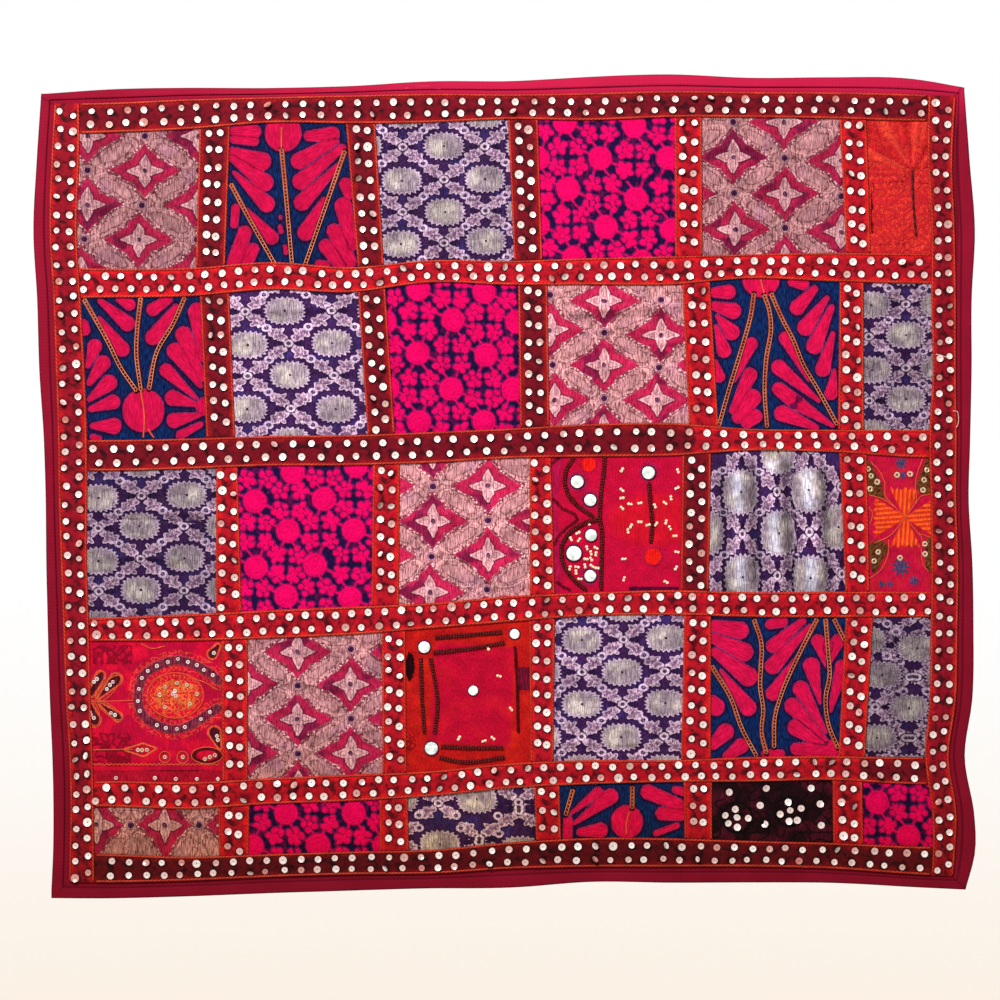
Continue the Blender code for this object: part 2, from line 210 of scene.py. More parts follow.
def layCloth(name, across, down, front, back, finish, uv, fields, stride=1):
    # A closed sheet: the front net, the back on every so many of its points, and the rim.
    rows, columns = across.shape
    j, i = np.mgrid[0:rows, 0:columns]
    border = (i == 0) | (j == 0) | (i == columns - 1) | (j == rows - 1)
    used = border | ((i % stride == 0) & (j % stride == 0))
    count = rows * columns
    frontIds = np.arange(count).reshape(rows, columns)
    backIds = count + np.cumsum(used.ravel()).reshape(rows, columns) - 1
    points = np.concatenate((hung(across, down, front).reshape(-1, 3),
                             hung(across, down, back + 0 * across)[used]))
    quads = np.stack((frontIds[:-1, :-1], frontIds[1:, :-1], frontIds[1:, 1:], frontIds[:-1, 1:]), -1)
    faces = quads.reshape(-1, 4).tolist()
    if stride == 1:
        quads = np.stack((backIds[:-1, :-1], backIds[:-1, 1:], backIds[1:, 1:], backIds[1:, :-1]), -1)
        faces += quads.reshape(-1, 4).tolist()
    else:
        for top in range(0, rows - 1, stride):
            for left in range(0, columns - 1, stride):
                bottom, right = top + stride, left + stride
                upper = backIds[top, left:right:1 if top == 0 else stride]
                lower = backIds[bottom, right:left:-1 if bottom == rows - 1 else -stride]
                rightSide = backIds[top:bottom:1 if right == columns - 1 else stride, right]
                leftSide = backIds[bottom:top:-1 if left == 0 else -stride, left]
                faces.append(np.concatenate((upper, rightSide, lower, leftSide)).tolist())
    ring = [(0, k) for k in range(columns)] + [(k, columns - 1) for k in range(1, rows)]
    ring += [(rows - 1, k) for k in range(columns - 2, -1, -1)] + [(k, 0) for k in range(rows - 2, 0, -1)]
    ringJ, ringI = np.array(ring).T
    a, b = frontIds[ringJ, ringI], backIds[ringJ, ringI]
    faces += np.stack((a, np.roll(a, -1), np.roll(b, -1), b), -1).tolist()
    uv = np.concatenate((uv.reshape(-1, 2), uv[used]))
    fields = {key: np.concatenate((value.ravel(), value[used])) for key, value in fields.items()}
    return makeMesh(name, points, faces, finish, uv, fields)


def declareCloth(node):
    # Hides the imported part that this cloth stands in for.
    if node:
        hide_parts(node)


def hexColour(code):
    # sRGB hex to linear light.
    parts = [int(code[k:k + 2], 16) / 255 for k in (1, 3, 5)]
    return tuple(p / 12.92 if p <= 0.04045 else ((p + 0.055) / 1.055) ** 2.4 for p in parts) + (1.0,)


def addNode(tree, kind, inputs=(), out=0, **settings):
    # A shader node with its settings and links, given back as one of its outputs. The inputs
    # stand in order or by name; each is a value, a hex code or the socket that feeds it.
    node = tree.nodes.new("ShaderNode" + kind)
    for key, value in settings.items():
        setattr(node, key, value)
    for key, value in inputs.items() if isinstance(inputs, dict) else enumerate(inputs):
        if isinstance(value, bpy.types.NodeSocket):
            tree.links.new(value, node.inputs[key])
        else:
            node.inputs[key].default_value = hexColour(value) if isinstance(value, str) else value
    return node.outputs[out]


def newMaterial(name):
    # A material and its node tree.
    material = bpy.data.materials.new(name)
    material.use_nodes = True
    return material, material.node_tree


def finished(material, colour, values, bump=()):
    # Colour, other values and bump (height, distance, strength) put into the shader.
    tree = material.node_tree
    shader = tree.nodes["Principled BSDF"]
    tree.links.new(colour, shader.inputs["Base Color"])
    if bump:
        made = addNode(tree, "Bump", dict(zip(("Height", "Distance", "Strength"), bump)))
        tree.links.new(made, shader.inputs["Normal"])
    for key, value in values.items():
        shader.inputs[key].default_value = value
    return material


def warmShadeBelow(tree, colour):
    # Towards the floor the colour is painted darker and warmer, as in the dimmer, warmer light there: the
    # colour times a tint by height.
    high = addNode(tree, "SeparateXYZ", [addNode(tree, "TexCoord", out="Object")], "Z")
    share = addNode(tree, "MapRange", (high, -0.80, -0.62), interpolation_type="SMOOTHSTEP")
    tint = addNode(tree, "Mix", {0: share, 6: "#EAD8AE", 7: "#FFFFFF"}, 2, data_type="RGBA")
    return addNode(tree, "VectorMath", (colour, tint), operation="MULTIPLY")


groundCloth = {
    "hemShares": (0, .015, .05, .11, .22, .38, .52, .62, .66, .70, .76, .86, 1.0),
    "cell": 11.0,               # pitch of the net inside the hem
    "foldAt": .68,              # share of the hem's width where its folded edge is sewn down
    "strip": 1.7,               # height of the single cloth between that edge and the trims
    "dark": "#560411", "light": "#9F1438",
    "thread": 0.55,             # mm between threads, drawn twice as coarse as poplin's to show
}


def groundMaterial():
    # Plain-woven cotton, piece-dyed and matt: a fine even thread. It is painted lighter the higher it hangs,
    # as lit from above, and lighter still along the top edge except towards its left corner, there partly the
    # cloth's fading and partly painted light.
    material, tree = newMaterial("crimsonCotton")
    place = addNode(tree, "TexCoord", out="Object")
    apart = addNode(tree, "SeparateXYZ", [place]).node.outputs
    inward = addNode(tree, "MapRange", (apart["X"], -0.44, -0.05, 0, 0.55))
    faded = addNode(tree, "MapRange", (apart["Z"], -0.045, -0.004, 0, inward),
                    interpolation_type="SMOOTHSTEP")
    # Painted light: the ground a little lighter the higher it hangs.
    height = addNode(tree, "MapRange", (apart["Z"], -0.80, -0.15, -0.05, 0.1))
    faded = addNode(tree, "Math", (height, faded), operation="ADD")
    cloudy = addNode(tree, "TexNoise", {"Vector": place, "Scale": 22.0, "Detail": 4.0})
    share = addNode(tree, "Math", (cloudy, 0.30, faded), operation="MULTIPLY_ADD")
    ends = {6: groundCloth["dark"], 7: groundCloth["light"]}
    colour = addNode(tree, "Mix", {0: share, **ends}, 2, data_type="RGBA")
    # Darkened along the hem seams and mitres, with painted shadow in the gap beside the right trim and along
    # the outer edge.
    seam = addNode(tree, "Attribute", out="Fac", attribute_name="seam")
    seamsAndShadows = addNode(tree, "MapRange", (seam, 0.25, 1.1, 0.55, 0))
    colour = addNode(tree, "Mix", {0: seamsAndShadows, 6: colour, 7: "#2C010A"}, 2, data_type="RGBA")
    # Painted highlight along the tent-shaped fold of the top hem.
    tent = addNode(tree, "Attribute", out="Fac", attribute_name="tent")
    foldHighlight = addNode(tree, "MapRange", (tent, 0.2, 0.9, 0.35, 0))
    colour = addNode(tree, "Mix", {0: foldHighlight, 6: colour, 7: "#B2586E"}, 2, data_type="RGBA")
    pitch = 1 / (groundCloth["thread"] * mm)
    threads = [addNode(tree, "TexWave", {"Vector": place, "Scale": pitch / 20, "Distortion": 0.6},
                       "Fac", bands_direction=way) for way in "XZ"]
    woven = addNode(tree, "Math", threads, operation="ADD")
    rumple = addNode(tree, "Math", (cloudy, 6.0, woven), operation="MULTIPLY_ADD")
    return finished(material, colour, {"Roughness": 0.86, "Specular IOR Level": 0.05}, (rumple, 0.0002, 0.5))


def pairs(*run):
    # A flat run of numbers as points, across and down in turn.
    return np.reshape(run, (-1, 2)).astype(float)


def least(parts):
    # The smallest of the parts at each place.
    return np.minimum.reduce(list(parts))


def lineDistance(across, down, *lines):
    # Shortest distance to the lines, each a run of points.
    nearest = np.full(np.shape(across), 1e3)
    for line in lines:
        points = pairs(line)
        for (x0, y0), (x1, y1) in zip(points, points[1:]):
            dx, dy = x1 - x0, y1 - y0
            share = np.clip(((across - x0) * dx + (down - y0) * dy) / (dx * dx + dy * dy), 0, 1)
            nearest = np.minimum(nearest, np.hypot(across - x0 - share * dx, down - y0 - share * dy))
    return nearest


def makeGround():
    # Hem lines run at shares of its width, and the inside lines evenly between its inner edges.
    # Each net point is where a weighted mean of the upright seams meets one of the level seams.
    hem = np.array(groundCloth["hemShares"])

    def weights(length):
        inside = np.linspace(0, 1, int(length / groundCloth["cell"]) + 1)[1:-1]
        first = np.stack((1 - hem, hem, 0 * hem, 0 * hem), -1)
        middle = np.stack((0 * inside, 1 - inside, inside, 0 * inside), -1)
        return (np.concatenate((first, middle, first[::-1, ::-1])),
                np.concatenate((hem, 1 + 0 * inside, hem[::-1])))
    columnWeights, columnHem = weights(905)
    rowWeights, rowHem = weights(785)
    uprights = [upright(name) for name in ("edgeLeft", "leftOuter", "rightOuter", "edgeRight")]
    levels = [level(name) for name in ("edgeTop", "band1Upper", "band6Lower", "edgeBottom")]
    shape = (len(rowHem), len(columnHem))
    down = np.broadcast_to(sum(rowWeights[:, k, None] * levels[k](sheetMiddle) for k in range(4)), shape)
    for _ in range(8):
        across = sum(columnWeights[None, :, k] * uprights[k](down) for k in range(4))
        down = sum(rowWeights[:, k, None] * levels[k](across) for k in range(4))
    edge = least((across - uprights[0](down), uprights[3](down) - across,
                  down - levels[0](across), levels[3](across) - down))
    share = np.minimum(columnHem[None, :], rowHem[:, None])
    seam = (share - groundCloth["foldAt"]) * 15.0
    rounded = np.sqrt(np.clip(1 - (1 - np.clip(edge / 1.7, 0, 1)) ** 2, 0, 1))
    thick = layers["hem"] - 0.1 + 0.25 * softNoise(across, down, 17, 5) * step(0.1, 0.5, share)
    front = 0.6 + (thick - 0.6) * rounded
    front = front + (groundCloth["strip"] - front) * step(-0.6, 0.3, seam)
    front = front - 0.35 * np.exp(-(seam / 0.5) ** 2)
    front = front + (layers["ground"] - front) * step(0.97, 1.0, share)
    mitres = ((961.5, 86, 955, 97), (41, 97, 54, 104), (54.5, 893, 70, 881.5), (964, 886.5, 951, 876))
    mitre = lineDistance(across, down, *mitres)
    front = front + 0.5 * np.exp(-(mitre / 1.2) ** 2) * (share < 1)
    tent = lineDistance(across, down, (396, 92.5, 409, 87.6, 422, 85.2, 443, 90.5))
    # Painted shadow in the gap between the right trim and the hem.
    gapShadow = lineDistance(across, down, (956.5, 128, 955.5, 170, 957, 215, 956.5, 268))
    # The seam field also carries the painted shadow beside the right trim and along the outer edge.
    fields = {"seam": least((np.abs(seam), mitre, 0.5 * gapShadow, 0.1 + 0.5 * edge)), "tent": tent}
    uv = np.stack((across, -down), -1) * mm
    piece = layCloth("ground", across, down, front, 0.0, groundMaterial(), uv, fields)
    declareCloth("ground_cloth")


makeGround()
print("ground laid")


trimLook = {
    "shares": (0, .012, .032, .065, .115, .20, .30, .40, .50, .60, .70, .80, .885, .935, .968, .988, 1),
    "step": 3.0,                 # mm between the net's lines along a trim
    "pillow": 0.45,              # how much the padded middle stands up
    "sequin": 3.65,              # radius
    "cord": 1.25,                # how far inside its edge the cord is laid
    "inner": ((505, 487), (425, 368)),   # middle and half size of the field inside the outer trims
}
# Each halo colour is the painted shadow round the sequins.
trimColours = {
    "bright": {"margin": "#AE0E16", "inside": "#870819", "blotch": "#2B040C", "halo": "#4C040E"},
    "outer": {"margin": "#910B13", "inside": "#6C0618", "blotch": "#250409", "halo": "#3C040B"},
    "deep": {"margin": "#73090F", "inside": "#550413", "blotch": "#1E0308", "halo": "#35040B"},
    "dusky": {"margin": "#5C060B", "inside": "#44040F", "blotch": "#180206", "halo": "#290308"},
}
random = np.random.default_rng(7)
sequinPlaces, cordPaths = [], {"bands": [], "sides": [], "shorts": []}


def trimMaterial(name, first, second):
    # Cotton strip closely worked in floss, nearly matt: red margins, a darker mottled middle with soft
    # near-black spots along it, and a ring of painted shadow round each sequin.
    material, tree = newMaterial(name)
    cloth = addNode(tree, "UVMap", uv_map="cloth")
    patchy = addNode(tree, "TexNoise", {"Vector": cloth, "Scale": 140.0, "Detail": 4.0})
    stitches = addNode(tree, "Mapping", {"Vector": cloth, "Scale": (1 / 0.0009, 1 / 0.0032, 1.0)})
    floss = addNode(tree, "TexNoise", {"Vector": stitches, "Scale": 1.0, "Detail": 1.0})
    swing = addNode(tree, "Math", (patchy, 9.0, -4.5), operation="MULTIPLY_ADD")
    spots = addNode(tree, "TexNoise", {"Vector": cloth, "Scale": 95.0, "Detail": 2.0})
    spotty = addNode(tree, "Math", (spots, -42.0, 26.0), operation="MULTIPLY_ADD")
    join = addNode(tree, "Attribute", out="Fac", attribute_name="join")
    colour = addNode(tree, "Mix", {0: join, 6: first["margin"], 7: second["margin"]}, 2, data_type="RGBA")
    for key, kind, uneven, low, high in (("inside", "ADD", swing, -1.6, 1.6),
                                         ("halo", "ADD", swing, -0.5, 2.4),
                                         ("blotch", "MAXIMUM", spotty, -0.6, 3.4)):
        reach = addNode(tree, "Attribute", out="Fac", attribute_name=key)
        reach = addNode(tree, "Math", (reach, uneven), operation=kind)
        mask = addNode(tree, "MapRange", (reach, low, high, 0.86, 0))
        dye = addNode(tree, "Mix", {0: join, 6: first[key], 7: second[key]}, 2, data_type="RGBA")
        colour = addNode(tree, "Mix", {0: mask, 6: colour, 7: dye}, 2, data_type="RGBA")
    shades = [addNode(tree, "MapRange", (floss, 0.3, 0.7, 0.70, 1.22)),
              addNode(tree, "MapRange", (patchy, 0.3, 0.66, 0.72, 1.16))]
    shade = addNode(tree, "Math", shades, operation="MULTIPLY")
    colour = addNode(tree, "VectorMath", {0: colour, "Scale": shade}, operation="SCALE")
    return finished(material, warmShadeBelow(tree, colour), {"Roughness": 0.75, "Specular IOR Level": 0.06},
                    (floss, 0.0007, 0.8))


trimMaterials = {key: trimMaterial(f"{key}Trim", colours, trimColours["bright" if key == "deep" else "deep"])
                 for key, colours in trimColours.items()}


def placeSequins(length, starts, pitches, apart):
    # Two rows along the trim, each at its own even pitch with the sewer's unevenness.
    found = []
    for side, start, pitch in zip((-1, 1), starts, pitches):
        along = np.arange(start, length - 3.0, pitch)
        along = along + random.uniform(-1.6, 1.6, along.shape)
        sideways = side * apart * 0.5 + random.uniform(-1.0, 1.0, along.shape)
        found.append(np.stack((along, sideways), -1))
    return np.concatenate(found)


def makeTrim(name, node, sides, group, style, rule, joinAt=None):
    # The net runs along the trim in even steps and across it in the look's shares. Its height
    # is a quarter round at both edges with a low pillow between them.
    def point(s, t):
        return netPoint(sides, s, t) if group == "bands" else netPoint(sides, t, s)
    corner, end, beside = [np.array(point(s, t)) for s, t in ((0, 0), (1, 0), (0, 1))]
    length, width = float(np.hypot(*(end - corner))), float(np.hypot(*(beside - corner)))
    along = np.linspace(0, 1, 4 * int(round(length / trimLook["step"] / 4)) + 1)[None, :]
    over = np.array(trimLook["shares"])[:, None]
    if group != "bands":
        along, over = along.T, over.T
    across, down = point(along, over)
    u, v = np.broadcast_arrays(along * length, (over - 0.5) * width)
    edge = np.minimum(np.minimum(u, length - u) + 0.4, width / 2 - np.abs(v))
    rounded = np.sqrt(np.clip(1 - (1 - np.clip((edge + 0.05) / 1.3, 0, 1)) ** 2, 0, 1))
    front = layers["trimBack"] + 0.25 + 0.75 * rounded
    front = front + trimLook["pillow"] * np.clip(1 - (2 * v / width) ** 2, 0, 1) * step(0, 5, edge)
    front = front + 0.22 * softNoise(u, v, 7.0, len(name)) * step(0.5, 3, edge)
    spots = placeSequins(length, *rule)
    # Distance out from the sequins' rims, for the painted shadow ring round each.
    halo = least([np.hypot(u - x, v - y) - trimLook["sequin"] - 0.5 for x, y in spots] + [99 + 0 * u])
    fields = {"halo": halo, "blotch": np.abs(v) - width * 0.17, "inside": np.abs(v) - (width / 2 - 4.8),
              "join": step(joinAt - 2, joinAt + 2, across) if joinAt else 0 * across}
    piece = layCloth(name, across, down, front, layers["trimBack"], trimMaterials[style],
                     np.stack((u, v), -1) * mm, fields, stride=4)
    declareCloth(node)
    spotPoints = point(np.clip(spots[:, 0] / length, 0, 1), spots[:, 1] / width + 0.5)
    sequinPlaces.append(np.stack(spotPoints, -1))
    fine = np.linspace(0.002, 0.998, int(length / 2.0))
    for share in (trimLook["cord"] / width, 1 - trimLook["cord"] / width):
        cordPaths[group].append(np.stack(point(fine, share), -1))


gap = layers["gap"]
# Level trims: style, where the two rows of sequins start, their pitches, how far apart they
# are, and where a second strip of the other red takes over.
bands = (("deep", (12, 12.5), (17.7, 17.6), 13, None), ("bright", (9, 2.5), (16.6, 15.6), 13, None),
         ("deep", (7, 12), (18, 18.4), 14, 692), ("bright", (5, 7.5), (16.2, 16.6), 11.5, None),
         ("bright", (14, 2), (16.8, 16.3), 12, 860), ("dusky", (16, 16.5), (17.3, 17.2), 13.5, None))
for number, (style, *rule, joinAt) in enumerate(bands, 1):
    makeTrim(f"band{number}", f"band_{number}",
             (upright("leftInner", gap), upright("rightInner", -gap),
              level(f"band{number}Upper", gap if number == 1 else 0),
              level(f"band{number}Lower", -gap if number == 6 else 0)), "bands", style, rule, joinAt)
for side, left, right in (("Left", upright("leftOuter", gap), upright("leftInner")),
                          ("Right", upright("rightInner"), upright("rightOuter", -gap))):
    makeTrim(f"sideTrim{side}", f"side_trim_{side.lower()}",
             (left, right, level("band1Upper", gap), level("band6Lower", -gap)), "sides", "outer",
             ((9, 13), (17, 16.4), 12))
# Short trims, a string for each row: D is deep and B bright, and how much later than the
# first row of sequins the second one starts.
for row, styles, staggers in ((1, "DDDBB", "11511"), (2, "DDDBB", "25214"), (3, "BBBDB", "32571"),
                              (4, "BBBBB", "14235"), (5, "BBBBB", "33211")):
    for number in range(5):
        makeTrim(f"shortTrimR{row}N{number + 1}", f"short_trim_r{row}_{number + 1}" if row < 5 else None,
                 (shortSide(row, number, "left"), shortSide(row, number, "right"),
                  level(f"band{row}Lower", gap), level(f"band{row + 1}Upper", -gap)),
                 "shorts", "deep" if styles[number] == "D" else "bright",
                 ((6, 6 + int(staggers[number])), (16.6, 16.8), 11))
print("trims laid")


def cordMaterial(name, dark, light):
    # Mercerised cotton cord: two plies with a soft shine, painted darker in the grooves between them and
    # lighter on their crests.
    material, tree = newMaterial(name)
    place = addNode(tree, "TexCoord", out="Object")
    worn = addNode(tree, "TexNoise", {"Vector": place, "Scale": 90.0, "Detail": 3.0})
    worn = addNode(tree, "Math", (worn, 0.9, -0.25), operation="MULTIPLY_ADD")
    ply = addNode(tree, "Attribute", out="Fac", attribute_name="ply")
    share = addNode(tree, "Math", (worn, ply), operation="ADD")
    colour = warmShadeBelow(tree, addNode(tree, "Mix", {0: share, 6: dark, 7: light}, 2, data_type="RGBA"))
    fuzz = addNode(tree, "TexNoise", {"Vector": place, "Scale": 1500.0, "Detail": 1.0})
    return finished(material, colour, {"Roughness": 0.6, "Specular IOR Level": 0.15}, (fuzz, 0.0002, 0.4))


def makeCords(name, paths, off, radius, finish, sides=6, turn=5.0, lobe=0.22, flat=0.75):
    # Each cord is a ring carried along its path; the ring's radius swells twice round it, and
    # that swelling turns once in every so many mm, which is the twist of two plies.
    points, faces, plies, first = [], [], [], 0
    angles = np.arange(sides) * 2 * math.pi / sides
    for path in paths:
        centre = hung(path[:, 0], path[:, 1], off)
        tangent = np.gradient(centre, axis=0)
        tangent /= np.linalg.norm(tangent, axis=1)[:, None]
        sideways = np.cross(tangent, (0.0, -1.0, 0.0))
        sideways /= np.linalg.norm(sideways, axis=1)[:, None]
        outward = np.cross(sideways, tangent)
        run = np.concatenate(([0], np.cumsum(np.hypot(*np.diff(path, axis=0).T))))
        twisted = angles[None, :] - run[:, None] * 2 * math.pi / turn
        swell = 1 + lobe * np.cos(2 * twisted)
        reach = radius * mm * swell
        ring = (centre[:, None, :] + (reach * np.cos(angles))[..., None] * sideways[:, None, :]
                + (reach * flat * np.sin(angles))[..., None] * outward[:, None, :])
        count = len(path)
        j, i = np.mgrid[0:count - 1, 0:sides]
        a, b = first + j * sides + i, first + j * sides + (i + 1) % sides
        faces += np.stack((a, b, b + sides, a + sides), -1).reshape(-1, 4).tolist()
        faces.append((first + np.arange(sides))[::-1].tolist())
        faces.append((first + (count - 1) * sides + np.arange(sides)).tolist())
        points.append(ring.reshape(-1, 3))
        # Painted shade of the twist: dark in the grooves, light on the crests.
        plies.append((0.5 * np.cos(2 * twisted)).ravel())
        first += count * sides
    makeMesh(name, np.concatenate(points), faces, finish, fields={"ply": np.concatenate(plies)}, sharp=0)


orangeCord = cordMaterial("orangeCottonCord", "#740D05", "#D24826")
for group, paths in cordPaths.items():
    makeCords(f"edgeCords{group.capitalize()}", paths, layers["trimFront"] + 0.35, 1.0, orangeCord, turn=8.0)
print("edge cords laid")


def sequinMaterial(name):
    # Pearlised plastic film, vacuum-coated: a white sheen over faint pink, duller where worn.
    material, tree = newMaterial(name)
    tone = addNode(tree, "Attribute", out="Fac", attribute_name="tone")
    colour = addNode(tree, "Mix", {0: tone, 6: "#D4CCC7", 7: "#A8665E"}, 2, data_type="RGBA")
    place = addNode(tree, "TexCoord", out="Object")
    worn = addNode(tree, "TexNoise", {"Vector": place, "Scale": 700.0, "Detail": 2.0})
    shade = addNode(tree, "MapRange", (worn, 0.35, 0.65, 0.78, 1.06))
    colour = addNode(tree, "VectorMath", {0: colour, "Scale": shade}, operation="SCALE")
    return finished(material, colour, {"Roughness": 0.32, "Metallic": 0.15, "Coat Weight": 0.3,
                                       "Coat Roughness": 0.2})


def facings(across, down, lean):
    # Three unit directions at each place: the cloth's outward normal leant by the given
    # amounts, and two at right angles to it.
    slopeAcross = (standOff(across + 3, down) - standOff(across - 3, down)) / 6
    slopeDown = (standOff(across, down + 3) - standOff(across, down - 3)) / 6
    normal = np.stack((-slopeAcross + lean[:, 0], -np.ones_like(across), slopeDown + lean[:, 1]), -1)
    normal /= np.linalg.norm(normal, axis=1)[:, None]
    first = np.array((1.0, 0, 0)) - normal[:, :1] * normal
    first /= np.linalg.norm(first, axis=1)[:, None]
    return first, np.cross(normal, first), normal


def scatterRings(name, places, off, radius, lean, profile, finish, fields=None, sides=10):
    # The same ringed profile, radius and height as shares, stood at every place at once.
    across, down = places.T
    first, second, normal = facings(across, down, lean)
    centre = hung(across, down, off)
    angles = np.arange(sides) * 2 * math.pi / sides
    radial = (np.cos(angles)[None, :, None] * first[:, None, :]
              + np.sin(angles)[None, :, None] * second[:, None, :])
    rings = [centre[:, None, :] + radius[:, None, None] * mm * (r * radial + h * normal[:, None, :])
             for r, h in profile]
    points = np.stack(rings, axis=1)
    count, loops = len(across), len(profile)
    n, k, i = np.mgrid[0:count, 0:loops, 0:sides]
    a, b = (n * loops + k) * sides, (n * loops + (k + 1) % loops) * sides
    following = (i + 1) % sides
    faces = np.stack((a + i, b + i, b + following, a + following), -1).reshape(-1, 4).tolist()
    fields = {key: np.repeat(value, loops * sides) for key, value in (fields or {}).items()}
    makeMesh(name, points, faces, finish, fields=fields, sharp=45)


sequinShape = ((0.15, -0.04), (1.0, 0.16), (0.6, -0.12))


def makeSequins():
    # Most lie flat, some tip up on their thread, and some are worn dull, more of them on the
    # outer trims.
    places = np.concatenate(sequinPlaces)
    count = len(places)
    radius = trimLook["sequin"] * random.uniform(0.86, 1.06, count)
    radius = np.where(random.random(count) < 0.02, 4.4, radius)
    tipped = random.random(count) < 0.1
    lean = random.normal(0, 0.10, (count, 2)) + tipped[:, None] * random.uniform(-1.1, 1.1, (count, 2))
    middle, half = trimLook["inner"]
    outer = np.max(np.abs(places - middle) / half, axis=1) > 1
    tone = np.clip(random.normal(0.14, 0.14, count) + 0.2 * outer, 0, 1) + (random.random(count) < 0.26) * 0.5
    radius = radius * np.where(outer, 0.93, 1.0)
    off = layers["trimFront"] + 0.85 + np.hypot(lean[:, 0], lean[:, 1]) * 2.2
    scatterRings("sequins", places, off, radius, lean, sequinShape, sequinMaterial("pearlSequin"),
                 {"tone": tone})


makeSequins()
print("sequins sewn")


def nearest(across, down, centres):
    # Across and down from each place to the nearest of the centres.
    centres = pairs(centres)
    dx, dy = across[..., None] - centres[:, 0], down[..., None] - centres[:, 1]
    pick = np.argmin(dx * dx + dy * dy, axis=-1)[..., None]
    return np.take_along_axis(dx, pick, -1)[..., 0], np.take_along_axis(dy, pick, -1)[..., 0]


def merged(centres, steps, reach):
    # The places so many steps from the centres, those nearer each other than the reach made
    # one at their mean.
    points = np.concatenate([pairs(centres) + move for move in steps])
    apart = np.hypot(points[:, None, 0] - points[None, :, 0], points[:, None, 1] - points[None, :, 1])
    near = (apart < reach).astype(float)
    return np.unique(np.round(near @ points / near.sum(1)[:, None], 1), axis=0)


def drops(across, down, *table):
    # Distance to the nearest drop, below nought inside: a drop is a line whose half-width
    # runs evenly from one end's to the other's.
    found = np.full(np.shape(across), 99.0)
    for x0, y0, r0, x1, y1, r1 in table:
        dx, dy = x1 - x0, y1 - y0
        share = np.clip(((across - x0) * dx + (down - y0) * dy) / max(dx * dx + dy * dy, 1e-6), 0, 1)
        reach = np.hypot(across - x0 - share * dx, down - y0 - share * dy)
        found = np.minimum(found, reach - r0 - (r1 - r0) * share)
    return found


def oval(dx, dy, wide, high, turn=0.0):
    # Near enough the distance to an ellipse of those half-axes, turned so far.
    c, s = math.cos(turn), math.sin(turn)
    ex, ey = (dx * c + dy * s) / wide, (dy * c - dx * s) / high
    return (np.hypot(ex, ey) - 1) * min(wide, high)


def box(across, down, left, top, right, bottom):
    # Distance to an upright rectangle's sides, below nought inside.
    return np.maximum(np.abs(across - (left + right) / 2) - (right - left) / 2,
                      np.abs(down - (top + bottom) / 2) - (bottom - top) / 2)


def curve(points, pitch=1.5):
    # A smooth line through the points, cut into even steps of about that pitch.
    points = pairs(points)
    run = np.concatenate(([0], np.cumsum(np.hypot(*np.diff(points, axis=0).T))))
    steps = np.linspace(0, run[-1], max(int(run[-1] / pitch), 2) + 1)
    return np.stack([smoothLine(run, points[:, k])(steps) for k in (0, 1)], -1)


def ovalLine(x, y, wide, high, turn=0.0):
    # Once round an ellipse, in steps of about 1.5 mm.
    angle = np.linspace(0, 2 * math.pi, int(4.2 * (wide + high) / 2) + 8)
    ex, ey = wide * np.cos(angle), high * np.sin(angle)
    c, s = math.cos(turn), math.sin(turn)
    return np.stack((x + ex * c - ey * s, y + ex * s + ey * c), -1)


def beside(path, gap):
    # The path moved sideways by the gap.
    ahead = np.gradient(path, axis=0)
    ahead /= np.hypot(ahead[:, 0], ahead[:, 1])[:, None]
    return path + gap * np.stack((-ahead[:, 1], ahead[:, 0]), -1)


roseCentres = {
    "r1c1": (145, 171, 139, 240, 88, 205, 199, 205, 88, 136, 199, 136, 82, 274, 195, 274),
    "r1c5": (733, 157, 735, 229, 785, 194, 841, 161, 784, 122, 682, 194, 841, 232, 785, 262),
    "r2c4": (604, 365, 604, 301, 657, 400, 555, 400, 661, 335, 550, 330, 604, 432, 710, 365),
    "r3c3": (488, 486, 488, 555, 433, 521, 430, 592, 433, 452, 541, 521, 380, 555, 380, 486, 486, 624),
    "r4c2": (298, 719, 298, 652, 351, 684, 351, 753, 245, 684, 245, 753, 402, 719, 298, 788, 404, 652),
    "r5c1": (165, 825, 97, 825, 233, 825)}
silverCentres = {
    "r1c3": (444, 146, 402, 181, 485, 179, 445, 212, 401, 244, 486, 241, 526, 146, 362, 146, 526, 211, 362,
        211, 444, 275, 403, 115, 484, 115),
    "r2c2": (285, 311, 332, 343, 248, 345, 290, 375, 336, 409, 247, 409, 378, 311, 378, 375, 290, 441, 384,
        441, 206, 375),
    "r2c6": (906, 335, 906, 399, 871, 305, 872, 370, 872, 433, 940, 305, 940, 368, 942, 432, 906, 272),
    "r3c1": (99, 498, 187, 495, 140, 526, 99, 561, 185, 558, 141, 590, 226, 590, 226, 526, 142, 464, 99,
        624, 185, 624, 226, 464),
    "r3c5": (740, 492, 808, 490, 778, 533, 742, 577, 810, 578, 838, 527, 778, 452, 706, 533, 776, 614),
    "r4c4": (582, 640, 666, 638, 622, 672, 582, 704, 665, 703, 621, 737, 541, 672, 706, 672, 541, 737, 582,
        768, 706, 737, 624, 608, 665, 768),
    "r4c6": (917, 648, 882, 675, 909, 708, 877, 738, 866, 640, 945, 675, 942, 738, 909, 768),
    "r5c3": (477, 799, 440, 844, 520, 849, 398, 799, 560, 804)}
pinkCentres = {
    "r1c4": (600, 158, 668, 158, 568, 189, 636, 199, 606, 227, 672, 230, 538, 158, 565, 122, 574, 258, 642,
        262, 704, 194, 634, 126, 538, 225),
    "r2c3": (453, 320, 418, 353, 486, 355, 451, 389, 419, 422, 484, 422, 484, 292, 513, 389, 388, 388, 418,
        289, 517, 322, 385, 322, 452, 455),
    "r3c2": (255, 501, 324, 499, 288, 531, 354, 530, 256, 567, 315, 565, 286, 596, 350, 598, 293, 472, 356,
        466, 384, 565, 226, 531, 384, 500, 224, 597),
    "r5c2": (286, 813, 354, 813, 318, 845, 252, 846, 384, 846, 320, 786),
    "r5c6": (877, 802, 908, 836, 939, 802, 845, 834, 908, 768)}


